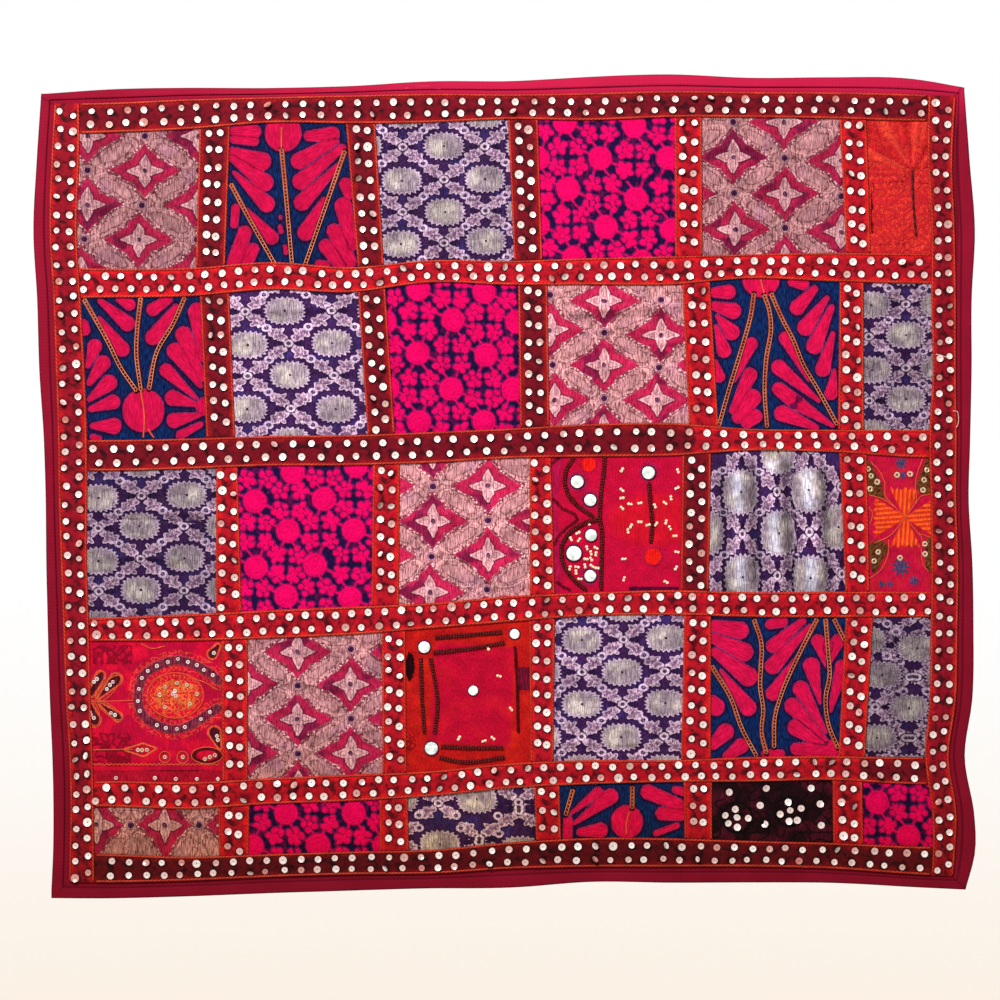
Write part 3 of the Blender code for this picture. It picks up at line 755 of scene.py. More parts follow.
def roseFields(across, down, key):
    # Half-drop brocade: a four-lobed medallion at each centre, a rosette above and below it,
    # and a lens of hatched thread on each diagonal between them.
    turned = key == "r5c1"
    dx, dy = nearest(across, down, roseCentres[key])
    away = [(35, 0), (-35, 0)] if turned else [(0, 35), (0, -35)]
    rx, ry = nearest(across, down, merged(roseCentres[key], away, 16))
    if turned:
        dx, dy = dy, dx
    dx = dx + 0.9 * softNoise(across, down, 6, 21)
    dy = dy + 0.9 * softNoise(across, down, 6, 22)
    ax, ay = np.abs(dx), np.abs(dy)
    lens, lattice = [oval(ax - 27, ay - 18.5, wide, high, math.radians(-27))
                     for wide, high in ((15.5, 6.0), (19, 9.4))]
    medallion = 0.7 * softNoise(across, down, 3.2, 23) + least((
        oval(dx, dy, 19.5, 13), np.hypot(ax, ay - 10) - 12, drops(ax, ay, (0, 13, 10, 0, 27.5, 0.3)),
        drops(ax, dy, (14, 0, 12, 34.5, 0, 0.3))))
    petals = least((drops(ax, dy, (7, 0, 5.2, 17.5, 0, 0.8)), drops(ax, ay, (0, 8, 5.6, 0, 16, 1.2))))
    return {"medallion": medallion, "petals": petals, "heart": np.hypot(dx, dy), "lens": lens,
            "rosette": np.hypot(rx, ry * 1.05), "lattice": lattice}


def silverFields(across, down, key):
    # Half-drop brocade: a zigzag-edged oval at each centre, four fringed petals about each
    # place half a period off, and small rings on the diagonals between.
    centres = silverCentres[key]
    dx, dy = nearest(across, down, centres)
    tall = key == "r3c5"
    wide, high = (17.5, 22.5) if tall else (19.5, 13.2)
    x, y = (35, 43) if tall else (42, 32.5)
    gx, gy = nearest(across, down, merged(centres, ((x, 0), (-x, 0), (0, y), (0, -y)), 17))
    diagonals = [(a * x / 2, b * y / 2) for a in (-1, 1) for b in (-1, 1)]
    hx, hy = nearest(across, down, merged(centres, diagonals, 12))
    rounded = (((np.abs(dx / wide)) ** 2.6 + np.abs(dy / high) ** 2.6) ** (1 / 2.6) - 1) * min(wide, high)
    angle = np.arctan2(dy / high, dx / wide)
    teeth = np.abs(((angle * 24 / (2 * math.pi)) % 1) - 0.5) * 2
    medallion = rounded + 3.2 * (teeth - 0.4)
    if tall:
        gx, gy = gy, gx
    ax, ay = np.abs(gx), np.abs(gy)
    fringe = 1.1 * np.sin(np.arctan2(ay - 9, ax - 12) * 7) + 0.8 * softNoise(across, down, 2.6, 31)
    petals = fringe + least((oval(ax - 11.0, ay - 8.0, 9.6, 4.7, math.radians(34)),
                             oval(ax - 16.2, ay - 11.4, 4.8, 4.6), oval(ax - 8.5, ay - 12.0, 3.4, 3.0)))
    fields = {"medallion": medallion, "heart": np.hypot(dx, dy), "petals": petals,
              "eyes": oval(ax - 10.5, ay, 5.4, 2.6), "crest": 0 * dx - 9, "middle": np.hypot(gx * 0.8, gy),
              "ring": np.hypot(hx * 0.8, hy)}
    if tall:
        # The gathered patch has painted light along the tops of its gathers and painted shade between them,
        # and a cool painted sheen on its medallions along those tops.
        tops, dips = [lineDistance(across, down, *((x, 466, x + 5, 588) for x in places))
                      for places in ((736, 771, 806), (720, 753, 785, 822))]
        fields["crest"] = np.where(medallion < -1.4, 7.0 - tops, -9.0)
        fields["faded"] = 1 + 0.42 * np.exp(-(tops / 7) ** 2) - 0.5 * np.exp(-(dips / 5) ** 2)
    return fields


def pinkFields(across, down, key):
    # Half-drop embroidery: a disc at each centre, four small five-lobed flowers about each
    # place half a period off, and thin stems between.
    dx, dy = nearest(across, down, pinkCentres[key])
    gx, gy = nearest(across, down, merged(pinkCentres[key], ((33.5, 0), (-33.5, 0), (0, 34), (0, -34)), 17))
    gx = gx + 1.5 * softNoise(across, down, 9, 44)
    gy = gy + 1.5 * softNoise(across, down, 9, 45)
    sway = 0.6 * softNoise(across, down, 6, 41)
    disc = np.hypot(dx, dy) - 11.6 + sway
    fx, fy = np.abs(gx) - 9.8, np.abs(gy) - 9.6
    turns = [math.radians(72 * k + 81) for k in range(5)]
    lobes = [np.hypot(fx - 6.1 * math.cos(turn), fy - 6.1 * math.sin(turn)) - 3.0 for turn in turns]
    stem = np.minimum(np.abs(dx - dy * 0.55 + 2 * np.sin(dy / 6)) - 0.9 + 9 * step(20, 22, np.hypot(dx, dy)),
                      drops(dx, dy, (9, 3.6, 0.9, 18, 7.4, 0.7), (-3.6, 9, 0.9, -7.4, 18, 0.7),
                            (-9, -3.6, 0.9, -18, -7.4, 0.7), (3.6, -9, 0.9, 7.4, -18, 0.7)))
    return {"worked": least((least([np.hypot(fx, fy) - 2.7] + lobes) + sway, disc, stem)),
            "spiral": np.hypot(dx, dy) + 1.2 * softNoise(across, down, 7, 43)}


# Satin-stitched petals of the blue embroidery, each from one end to the other: across, down
# and half-width at both.
petalTables = {
    "r1c2": ((234.5, 131.5, 4.2, 254.5, 132, 6.3), (234.5, 139.5, 3.7, 254.5, 141.5, 4.2),
        (232.5, 151.5, 3.3, 262, 162, 8.7), (232.5, 158, 3.3, 265, 183, 8),
        (234.5, 173, 1.3, 267, 204.5, 7.5), (247.5, 209.5, 0.5, 272, 238, 6.3),
        (236, 208, 3.3, 234.5, 224.5, 3.3), (234.5, 263, 6.7, 245, 233, 6.3),
        (246, 264.5, 5.8, 253.5, 249.5, 5.3), (283.5, 132.5, 17.2, 283.5, 134, 17.5),
        (309.5, 136.5, 4.7, 332.5, 134.5, 6.7), (299.5, 161.5, 7.5, 334.5, 141.5, 4.2),
        (301, 182, 7.5, 342.5, 148, 3), (302.5, 203, 7.5, 339.5, 165, 2),
        (306, 233, 7.5, 324.5, 201.5, 3.3), (343.5, 206.5, 8, 352, 246, 4.5),
        (346, 184.5, 5.8, 348.5, 196.5, 3.3), (334.5, 231.5, 6.7, 349.5, 261.5, 6.7),
        (326, 246.5, 6.3, 341, 264.5, 6.3), (319.5, 264.5, 3.7, 326, 265.5, 3.7),
        (281, 217, 0.8, 281, 219, 0.8), (280.5, 227, 1.3, 281.5, 232, 1.6),
        (285.5, 247, 1.3, 286.5, 253, 1.5)),
    "r2c1": ((100.5, 301, 2, 127.5, 323.5, 6.9), (119, 299.5, 2.3, 129.5, 304.5, 5.4),
        (99.5, 317.5, 0.8, 122, 349, 6.9), (83, 325, 5, 85, 330, 5), (88, 366, 1.8, 95, 346.5, 6.5),
        (89.5, 383, 2.3, 103, 363, 6.9), (89.5, 399.5, 1.8, 109, 383, 7.4), (91, 409, 2.3, 113, 402, 6.5),
        (93, 426, 2.3, 113.5, 426, 7.4), (93, 437, 2.3, 99, 438.5, 2.3), (168, 299.5, 3.8, 153, 309.5, 5.8),
        (176, 307.5, 3, 153, 337.5, 6.9), (197.5, 312, 8.5, 203.5, 356.5, 4.6),
        (183.5, 334.5, 7.4, 202, 378, 3), (175, 351, 7.4, 200.5, 386, 1.8),
        (166.5, 370.5, 6.2, 196, 398, 1.2), (173, 398, 7.2, 196, 404.5, 1.8),
        (174.5, 420.5, 6.9, 200.5, 414.5, 1.5), (180.5, 435, 3.8, 200.5, 424.5, 2.3),
        (205, 406, 8, 205, 407, 8), (143.5, 409.5, 20, 143.5, 411.5, 20)),
    "r2c5": ((715.5, 292.5, 4.6, 728.5, 292, 6.5), (714.5, 306, 3.8, 733, 311, 7.4),
        (717.5, 316.5, 1.5, 731.5, 332, 7.4), (716, 326, 1.2, 724, 350.5, 6.5),
        (716, 361, 0.8, 719, 376.5, 5.4), (734.5, 381, 0.8, 751, 344, 5.8), (733, 410.5, 3, 750, 375, 6.5),
        (737.5, 418, 4.6, 752.5, 398, 8), (747, 422.5, 5.4, 755.5, 416.5, 6.2),
        (761, 276.5, 18, 761, 278.5, 18), (791.5, 282.5, 3, 802.5, 283.5, 5.8),
        (814.5, 289, 3, 797.5, 307.5, 6.9), (827, 298, 1.8, 805.5, 327.5, 7.4),
        (831.5, 307.5, 2.3, 814.5, 346, 7.4), (833, 333.5, 1.5, 823, 369, 6.9),
        (834.5, 370.5, 1.2, 831, 393.5, 5.8), (808.5, 379.5, 1.2, 785.5, 338, 5.8),
        (819, 401, 1.2, 779, 367.5, 6.9), (833, 426, 1.2, 796, 402.5, 7), (796, 402.5, 7, 779, 389, 6),
        (816, 427.5, 2.3, 782.5, 413.5, 7.4)),
    "r4c5": ((715, 626, 5.4, 740, 630.5, 8), (713, 638, 4.6, 744, 652, 8.5), (715, 652, 3.8, 748, 676.5, 9),
        (721, 670.5, 0.8, 748, 707.5, 7.7), (712, 704, 8, 716, 707, 8), (713, 744.5, 4.6, 725.5, 732, 7.7),
        (727, 756.5, 3.8, 741, 746, 6.9), (770, 624.5, 4, 781, 621, 6), (802.5, 621, 3, 773, 646, 6.2),
        (810, 626, 1.5, 773, 666, 7.4), (796.5, 658, 1.2, 773, 693.5, 6.5), (818, 641, 6, 827, 667.5, 0.8),
        (838, 641, 6, 827, 667.5, 0.8), (828, 645.5, 6, 828, 649.5, 6), (811.5, 666, 7.7, 820, 703, 0.8),
        (842.5, 667.5, 6.9, 830, 710.5, 1.5), (801, 689, 7.4, 825.5, 732, 1.2),
        (792.5, 706, 7.4, 827, 743, 2.3), (796.5, 727.5, 8, 827, 746, 3.8),
        (796.5, 749, 5.4, 833, 749, 8.5), (765.5, 753.5, 3.5, 781, 754, 3.5)),
    "r5c4": ((570.5, 813.5, 0.9, 598, 792, 4.4), (574, 823.5, 0.9, 610.5, 796.5, 7.2),
        (568, 820, 3.9, 567.5, 838, 3.9), (580.5, 832, 3.3, 600.5, 830, 6.7),
        (627, 821, 15, 627, 822.5, 15), (648, 792, 6.7, 678, 804.5, 5.6),
        (662.5, 813.5, 6.1, 680.5, 814.5, 5.6), (656, 833.5, 2.2, 677, 825.5, 2.2),
        (676, 790, 3.3, 684, 792, 3.3))}
# Chain-stitched stems of the blue embroidery, and the plain lines over its discs.
stemTables = {
    "r1c2": ((231, 184.5, 253, 225, 276, 266), (282, 149.5, 287.5, 207, 292.5, 266), (345, 151.5, 326, 207,
        305, 266)),
    "r2c1": ((84.5, 299.5, 111, 347.5, 119, 364.5, 136.5, 391), (141, 298, 137.5, 329, 136.5, 353.5, 141,
        390.5), (185, 297.5, 173, 324.5, 157.5, 350.5, 149, 389.5)),
    "r2c5": ((754, 293.5, 751, 315, 742.5, 346, 730, 386, 718.5, 426), (764, 295, 769, 309, 771, 324, 766,
        361, 764.5, 389, 767, 427.5), (771, 293.5, 782.5, 319.5, 793, 339.5, 804, 366, 817.5, 389, 837,
        425)),
    "r4c5": ((754, 619.5, 761.5, 644.5, 761, 664.5, 760, 686, 763, 710.5, 761.5, 732, 766.5, 753.5), (817,
        619, 796.5, 659.5, 781, 695, 775.5, 713.5, 774, 747.5), (825.5, 619, 828, 650.5, 829.5, 676.5,
        825.5, 698, 828, 723, 838, 748), (711.5, 666, 731.5, 699.5, 741.5, 727.5, 756.5, 756), (834, 619,
        845, 641)),
    "r5c4": ((573, 789.5, 565.5, 815), (632.5, 786.5, 632, 808.5))}
discLines = ((282, 128, 282, 139, 282, 149.5), (141, 390.5, 144.5, 415, 143.5, 438), (148, 429, 151.5, 434,
    154.5, 438), (761, 279.5, 762.5, 287, 764, 293.5), (629.5, 812, 626.5, 824.5, 627, 834.5))


def petalFields(across, down, key):
    # Distances to the petals, to the line where two of them meet, and to the stems; and where
    # each place lies along and beside its nearest petal, for the lie of the satin stitch.
    each = np.stack([drops(across, down, row) for row in petalTables[key]]) - 0.6
    order = np.sort(each, axis=0)
    rows = np.array(petalTables[key])[np.argmin(each, axis=0)]
    dx, dy = rows[..., 3] - rows[..., 0], rows[..., 4] - rows[..., 1]
    long = np.hypot(dx, dy)
    along = ((across - rows[..., 0]) * dx + (down - rows[..., 1]) * dy) / long
    aside = ((across - rows[..., 0]) * dy - (down - rows[..., 1]) * dx) / long
    stem = lineDistance(across, down, *stemTables[key])
    return {"worked": order[0], "stem": stem, "along": along, "aside": aside,
            "between": (order[1] - order[0]) * 0.5 + 4 * step(0.0, 1.0, order[1])}


# The red embroidery with the ring medallion: places measured on the cloth.
ringLine = (218.2, 680.4, 212.7, 674.9, 203.8, 669.3, 196.6, 665.4, 187.7, 662.1, 178.2, 659.9, 167.7,
    661.6, 157.1, 666, 147.7, 671.3, 141.6, 678, 138.8, 688.8, 137.7, 700.4, 140.4, 711, 147.1, 719.3,
    157.1, 724.9, 166, 728.8, 176.6, 729.9, 186, 727.1, 192.7, 723.8, 201, 718.8, 209.9, 712.7, 217.7,
    708.2)
leafTable = ((91, 693.8, 2.5, 100.4, 676, 4.4), (98.2, 698.2, 0.8, 116, 679.3, 5.6),
    (89, 704.9, 3, 94, 720, 6.2), (100.4, 703.8, 0.8, 118, 717, 4), (218, 646, 2, 212.4, 654, 4.6),
    (219.6, 747, 1.5, 214.5, 732.5, 5.8))


def ringFields(across, down, key):
    # Distances to the ring, to what it encloses and to the motifs about it; lower falls below
    # nought past the bottom strip.
    ring = lineDistance(across, down, ringLine)
    feather = np.minimum(box(across, down, 91, 733, 131, 766), box(across, down, 93, 645, 132, 664))
    return {"ring": ring, "inner": oval(across - 175.5, down - 695.5, 28.5, 23.3),
            "core": oval(across - 177, down - 695.5, 23, 15.5), "leaf": drops(across, down, *leafTable),
            "oval": oval(across - 207.1, down - 755.4, 13.9, 6.7), "feather": feather,
            "pod": drops(across, down, (124, 749.7, 0.5, 143, 749.9, 6.4),
                         (143, 749.9, 6.4, 155.5, 748.5, 1.0)),
            "strip": np.abs(down - 770.5), "lower": 770.5 - down}


def squareFields(across, down, key):
    # The square is turned four degrees; beside it are two ovals, a stroke and a darned place.
    turned = math.radians(-4)
    dx, dy = across - 473, down - 695
    ex = dx * math.cos(turned) - dy * math.sin(turned)
    ey = dx * math.sin(turned) + dy * math.cos(turned)
    return {"square": np.maximum(np.abs(ex) - 40, np.abs(ey) - 50),
            "spot": oval(across - 410, down - 666, 4.6, 14),
            "side": lineDistance(across, down, (515.1, 647.6, 517.6, 687, 518.3, 732)) - 1.7,
            "darn": box(across, down, 518, 667, 532, 690), "corner": oval(across - 410, down - 742, 6, 9)}


archOuter = ((548, 467, 555, 461, 562, 455), (554, 499.8, 562.4, 508.7, 574.7, 514.2, 577.4, 519.8, 566.9,
    527.6, 558, 536.4, 554.7, 544.2), (557, 582, 563, 587, 570, 590))
archLines = ((574.1, 457.6, 566.3, 469.8, 564.7, 483.1, 568, 494.2, 578, 506.4, 592.4, 515.9), (604.7,
    457.6, 603.6, 474.2, 601.3, 490.9, 600.2, 507.6, 599.7, 518.7, 601.9, 529.8, 601.9, 552, 601.3, 574.2,
    601.3, 588.7), (597, 519.5, 584.7, 523.1, 570.2, 532, 562.4, 544.2, 561.3, 554.2, 564.7, 567.6, 573.6,
    579.8, 585.8, 589.8), (649.3, 484.2, 650.8, 507.6, 652.4, 523.1, 650.8, 542))


def archFields(across, down, key):
    # Distances to the bead lines, inner and outer, and to two red discs; halo rings the mirrors.
    red = np.minimum(np.hypot(across - 588.6, down - 464.2) - 7.2, np.hypot(across - 653, down - 556.4) - 8.4)
    halo = least(np.hypot(across - x, down - y) for x, y in
                 ((577.4, 481.4), (590.2, 499.8), (590.2, 575.9), (648.6, 472.6), (653, 556.4)))
    return {"outer": lineDistance(across, down, *archOuter), "lines": lineDistance(across, down, *archLines),
            "red": red, "halo": halo, "left": across - 560.5 - 3 * np.sin(down / 17),
            "strip": box(across, down, 629, 586.6, 679, 591), "warm": oval(across - 655, down - 520, 45, 26)}


bowMiddle = (905.3, 517.6)
bowLines = ((870.9, 462, 879.8, 472, 884.8, 484.2, 884.8, 494.2, 894.2, 506.4, 905.3, 517.6), (868.7, 494.8,
    884.2, 499.8, 895.3, 507.6), (922.6, 459, 917, 474.2, 915.3, 488.7, 916.4, 500, 913.1, 506.4, 905.3,
    517.6), (930.9, 494.2, 920.9, 496.4, 915.3, 504.2), (874.2, 543.1, 888.7, 536.4, 905.3, 517.6), (888.7,
    539.8, 887.6, 555.3, 879.8, 570.9, 868.7, 578.7), (905.3, 517.6, 915.3, 529.8, 922, 538.7, 921.4, 552,
    923.1, 564.2, 928.7, 572), (917.6, 533.1, 930.9, 537.6), (868.7, 507, 872.4, 514, 869.5, 524))
bowStars = ((901.4, 463.1, 7, 8), (903.1, 475.3, 4.5, 6), (900.9, 567, 9.5, 9), (914.2, 580.9, 5.5, 7),
    (882, 584.2, 4, 6), (890.3, 584.2, 3.6, 5))


def bowFields(across, down, key):
    # Four fans about the bow's middle, two of level stripes and two of upright ones, four dark
    # corners bounded by its outlines, and spiky flowers, each a star of so many points.
    dx, dy = across - bowMiddle[0], down - bowMiddle[1]
    ax, ay = np.abs(dx), np.abs(dy)
    sideways = np.maximum(ax - 33 + 3.5 * np.abs(np.sin(dy / 2.3)), ay - 0.62 * ax - 1.0)
    above = np.maximum(ay - 31 + 3.5 * np.abs(np.sin(dx / 2.2)), ax - 0.48 * ay - 1.0)
    rays = np.minimum(np.maximum(sideways, 1.5 * np.sin(dy * 1.36 + 0.1 * dx) + 0.1),
                      np.maximum(above, 1.5 * np.sin(dx * 1.42 + 0.08 * dy) + 0.1))
    corners = drops(across, down, (866, 460, 2.5, 872, 486, 10), (872, 486, 10, 884, 499, 0.8),
                    (932, 458, 5, 927, 485, 10.5), (874, 570, 3, 878, 549, 9.4), (934, 545, 9, 934, 564, 9))
    stars = np.full(across.shape, 99.0)
    for x, y, r, points in bowStars:
        turn = np.arctan2(down - y, across - x)
        stars = np.minimum(stars, np.hypot(across - x, down - y) - r * (0.74 + 0.34 * np.cos(turn * points)))
    return {"rays": rays, "fan": np.minimum(sideways, above), "corners": corners, "stars": stars}


def leafFields(across, down, key):
    # Painted shade and highlight of the folds that fan up from where the two stitched lines meet.
    angle = np.degrees(np.arctan2(across - 911, 171 - down))
    fold = np.where(down < 171, 3.0 * np.sin(angle / 6.4) + 1.6 * np.sin(angle / 2.7 + 1), 9.0)
    slit = lineDistance(across, down, (872.6, 184.1, 871.4, 211, 872, 232.3))
    dark = lineDistance(across, down, (879.5, 182.9, 904.5, 181.6), (918.3, 182.3, 927, 183.5),
                        (877, 244.8, 909.5, 243.5))
    return {"fold": fold, "slit": slit, "dark": dark}


def sequinFields(across, down, key):
    # Soft clouds, and the rims of two rings of 15 mm.
    cloud = softNoise(across, down, 14, 51)
    round1 = np.hypot(across - 737, down - 817)
    round2 = np.hypot(across - 790, down - 811)
    return {"cloud": cloud * 6, "round": np.abs(np.minimum(round1, round2) - 15)}


def area(where, dark, light, waver, **more):
    # A worked area: the field it follows, its two shades and how much its edge wavers; band
    # is the field's middle value and half-range, net is another pattern that bounds it.
    return {"field": where, "colours": (dark, light), "waver": waver, **more}


def embroidered(name, note):
    # Base cloth with each worked area laid over it in turn. An area is where its field lies
    # within its band, and within its net where it has one; noise of its grain makes its edge
    # waver, and its thread runs at its angle, or along each petal.
    material, tree = newMaterial(name)
    cloth = addNode(tree, "UVMap", uv_map="cloth")
    lie = [addNode(tree, "Attribute", out="Fac", attribute_name=key) for key in ("along", "aside")]
    petalwise = addNode(tree, "CombineXYZ", lie)
    scale = 1 / (note.get("cloud", 14.0) * mm)
    cloudy = addNode(tree, "TexNoise", {"Vector": cloth, "Scale": scale, "Detail": 3.0})

    def thread(colours, pitch, run, angle):
        laid, unit = petalwise, 1
        if angle != "petal":
            turn = (0, 0, math.radians(-angle))
            laid, unit = addNode(tree, "Mapping", {"Vector": cloth, "Rotation": turn}), 1000
        laid = addNode(tree, "VectorMath", (laid, (unit / run, unit / pitch, 1.0)), operation="MULTIPLY")
        floss = addNode(tree, "TexNoise", {"Vector": laid, "Scale": 1.0, "Detail": 1.0})
        tone = addNode(tree, "MapRange", (floss, 0.36, 0.64))
        return tone, addNode(tree, "Mix", {0: tone, 6: colours[0], 7: colours[1]}, 2, data_type="RGBA")
    tone, colour = thread(note["base"], *note.get("thread", (1.2, 6.0, 90.0)))
    height = addNode(tree, "Math", (tone, 0.3, cloudy), operation="MULTIPLY_ADD")
    for part in note["areas"]:
        tone, worked = thread(part["colours"], *part.get("thread", (1.4, 9.0, 90.0)))
        waver = part["waver"] * 3
        scale = 1 / (part.get("grain", 3.0) * mm)
        grain = addNode(tree, "TexNoise", {"Vector": cloth, "Scale": scale, "Detail": 2.0})
        reach = addNode(tree, "Math", (grain, waver, -waver / 2), operation="MULTIPLY_ADD")
        if part["field"]:
            centre, half = part.get("band", (-50.0, 50.0))
            off = addNode(tree, "Attribute", out="Fac", attribute_name=part["field"])
            off = addNode(tree, "Math", (off, centre), operation="SUBTRACT")
            off = addNode(tree, "Math", [off], operation="ABSOLUTE")
            off = addNode(tree, "Math", (off, half), operation="SUBTRACT")
            reach = addNode(tree, "Math", (reach, off), operation="ADD")
        if "net" in part:
            kind, pitch, half = part["net"]
            if kind in ("crackle", "dots"):
                cells = addNode(tree, "TexVoronoi", {"Vector": cloth, "Scale": 1 / (pitch * mm)}, "Distance",
                                feature="DISTANCE_TO_EDGE" if kind == "crackle" else "F1")
                lines = addNode(tree, "Math", (cells, pitch, -half), operation="MULTIPLY_ADD")
            else:
                detail = 0.0 if kind == "squiggle" else 2.0
                waves = addNode(tree, "TexNoise",
                                {"Vector": cloth, "Scale": 1 / (pitch * mm), "Detail": detail})
                lines = addNode(tree, "Math", (waves, -1.7 * pitch, 0.85 * pitch), operation="MULTIPLY_ADD")
                if kind == "squiggle":
                    lines = addNode(tree, "Math", [lines], operation="ABSOLUTE")
                lines = addNode(tree, "Math", (lines, half), operation="SUBTRACT")
            reach = addNode(tree, "Math", (reach, lines), operation="MAXIMUM" if part["field"] else "ADD")
        soft = part.get("soft", 0.3)
        mask = addNode(tree, "MapRange", (reach, -soft, soft, part.get("cover", 1.0), 0))
        colour = addNode(tree, "Mix", {0: mask, 6: colour, 7: worked}, 2, data_type="RGBA")
        lift = addNode(tree, "Math", (tone, 0.5, 0.6), operation="MULTIPLY_ADD")
        height = addNode(tree, "Math", (mask, lift, height), operation="MULTIPLY_ADD")
    shade = addNode(tree, "MapRange", (cloudy, 0.3, 0.7, *note.get("shade", (0.82, 1.14))))
    # tone also carries the gathered patch's painted light and shade.
    tone = addNode(tree, "Attribute", out="Fac", attribute_name="tone")
    shade = addNode(tree, "Math", (shade, tone), operation="MULTIPLY")
    colour = addNode(tree, "VectorMath", {0: colour, "Scale": shade}, operation="SCALE")
    values = {"Roughness": note.get("roughness", 0.8), "Specular IOR Level": note.get("gloss", 0.06)}
    return finished(material, warmShadeBelow(tree, colour), values, (height, 0.0008, note.get("bump", 0.7)))


# Viscose and metal-thread brocade: crisp, faintly shining, with floats that lie upright.
roseBrocade = {
    "base": ("#602C35", "#B78184"), "thread": (1.15, 8, 90), "roughness": 0.6, "gloss": 0.04, "cloud": 22,
    "shade": (0.72, 1.28), "net": 1.5, "rumple": 0.8,
    "areas": (
        area(None, "#1F0C16", "#391823", 0.3, net=("squiggle", 15, 0.3), cover=0.75),
        area(None, "#BB888B", "#D4A6A6", 0.6, net=("dots", 3.4, 0.8), cover=0.65),
        area("lattice", "#B07E82", "#D1A2A3", 0.9, band=(1, 0.35), cover=0.55),
        area("lattice", "#280F1C", "#43202B", 0.7, band=(2.1, 0.3), cover=0.4),
        area("lens", "#6A3A43", "#B38185", 1, thread=(1.2, 9, 90), cover=0.8),
        area("lens", "#2D0F17", "#481C23", 0.7, band=(0.3, 0.3), cover=0.65),
        area(None, "#4D244A", "#87577F", 0.6, net=("clouds", 30, -6), cover=0.35, soft=4),
        area("medallion", "#4A1325", "#7D3C46", 0.3, band=(1.6, 1.4)),
        area("medallion", "#BF8A91", "#D8AAAC", 0.2, band=(1.5, 1.2), net=("dots", 2.7, 1.1)),
        area("medallion", "#740C2C", "#A11C42", 0.4, thread=(1.2, 6, 90)),
        area("medallion", "#400722", "#681138", 0.6, band=(-50.5, 50), net=("clouds", 34, -3.5), cover=0.85,
             soft=1.2),
        area("petals", "#3A091F", "#4F1328", 0.3, band=(0.5, 0.5)),
        area("petals", "#89535F", "#C6969A", 0.5, grain=1.8),
        area("petals", "#431C2B", "#6A3543", 0.3, band=(-2.4, 0.25), cover=0.65),
        area("heart", "#A3717D", "#C6959C", 0.3, band=(2.6, 0.7)),
        area("heart", "#2F0C25", "#683C56", 0.4, band=(0, 2.6)),
        area("rosette", "#996773", "#C19096", 0.6, band=(0, 5.4)),
        area("rosette", "#361325", "#512737", 0.3, band=(4.4, 0.3)),
        area("rosette", "#2D0B2B", "#4A1E3D", 0.3, band=(0, 3.4)),
        area("rosette", "#1A0625", "#341537", 0.3, band=(0, 1.8)))}
silverBrocade = {
    "base": ("#210A2E", "#3B194C"), "thread": (1.2, 3, 60), "roughness": 0.6, "gloss": 0.05, "cloud": 24,
    "shade": (0.72, 1.28), "net": 1.3, "rumple": 0.8,
    "areas": (
        area(None, "#191039", "#382869", 0.6, net=("clouds", 26, -3.5), cover=0.8, soft=3),
        area("petals", "#16051C", "#260D2E", 0.5, band=(0.5, 0.7), cover=0.8),
        area("petals", "#856584", "#C4A6B6", 0.8, thread=(1.3, 3.5, 90), grain=2),
        area("petals", "#341840", "#643B69", 0.4, band=(-50, 48.6), net=("clouds", 3.4, 0.1), cover=0.8),
        area("petals", "#AD8DAD", "#D9BED8", 0.5, band=(-0.3, 0.5), cover=0.85),
        area("eyes", "#170621", "#2F1341", 0.5),
        area("middle", "#A58AA3", "#D3B9D0", 0.4, band=(2.8, 1)),
        area("middle", "#251921", "#4F404D", 0.3, band=(0, 1.6)),
        area("ring", "#A58AA9", "#D3B9D6", 0.5, band=(3, 1)),
        area("ring", "#1D0A2C", "#3C234D", 0.3, band=(0, 1.7)),
        area("ring", "#8E7293", "#BA9DBA", 0.3, band=(0, 0.7)),
        area("medallion", "#16051C", "#2C1033", 0.4, band=(0.9, 0.9), cover=0.8),
        area("medallion", "#957A95", "#C4ABC5", 0.4, band=(-0.5, 0.9)),
        area("medallion", "#665661", "#9B8A95", 0.3, band=(-51.3, 50), thread=(1.1, 10, 90)),
        # Pale clouds on the medallions: partly their own colour, partly painted sheen of the metal thread.
        area("medallion", "#948680", "#D0C4C0", 0.6, band=(-52, 49), net=("clouds", 20, -1),
             thread=(1.1, 10, 90), cover=0.8, soft=2.5),
        # Cool painted sheen on the gathered patch's medallions along the tops of its gathers.
        area("crest", "#9494AB", "#C9CDDF", 0.5, band=(50, 48), thread=(1.1, 10, 90), cover=0.55, soft=3.5),
        area("heart", "#120A11", "#241B25", 0.3, band=(0, 1.35)),
        area(None, "#12051A", "#26102E", 0.3, net=("crackle", 7.5, 0.14), cover=0.5))}
# Cotton poplin closely covered in satin stitch of viscose floss: matt ground, smooth stitches.
pinkEmbroidery = {
    "base": ("#0A051F", "#1A0A36"), "net": 1.5, "gloss": 0.03, "shade": (0.86, 1.08), "rumple": 0.3,
    "areas": (
        area(None, "#390531", "#580936", 0.8, net=("clouds", 9, -1.2), cover=0.7),
        area("worked", "#460639", "#7A0D4B", 0.5, band=(0.6, 0.7)),
        area("worked", "#AF0043", "#C90253", 0.5, thread=(1.1, 5, 40), grain=2),
        area("spiral", "#850041", "#990244", 0.3, band=(8.8, 0.3), cover=0.5),
        area("spiral", "#850041", "#990244", 0.3, band=(4.6, 0.25), cover=0.4))}
# The same poplin in navy, with long crimson satin stitches that shine along each petal.
blueEmbroidery = {
    "base": ("#050A2C", "#0A2453"), "net": 1.65, "gloss": 0.03, "shade": (0.84, 1.1), "rumple": 0.3,
    "areas": (
        area("worked", "#12041E", "#2A0A34", 0.7, band=(1, 1.4)),
        area("worked", "#641A4A", "#8A3466", 0.4, band=(0, 0.5), cover=0.75),
        area("worked", "#980530", "#BC0D42", 0.3, band=(-50.3, 50), thread=(1.2, 9, "petal")),
        area("between", "#46062C", "#600A34", 0.3, band=(0, 0.65)),
        area("stem", "#0C020A", "#240510", 0.4, band=(0, 2.7)))}
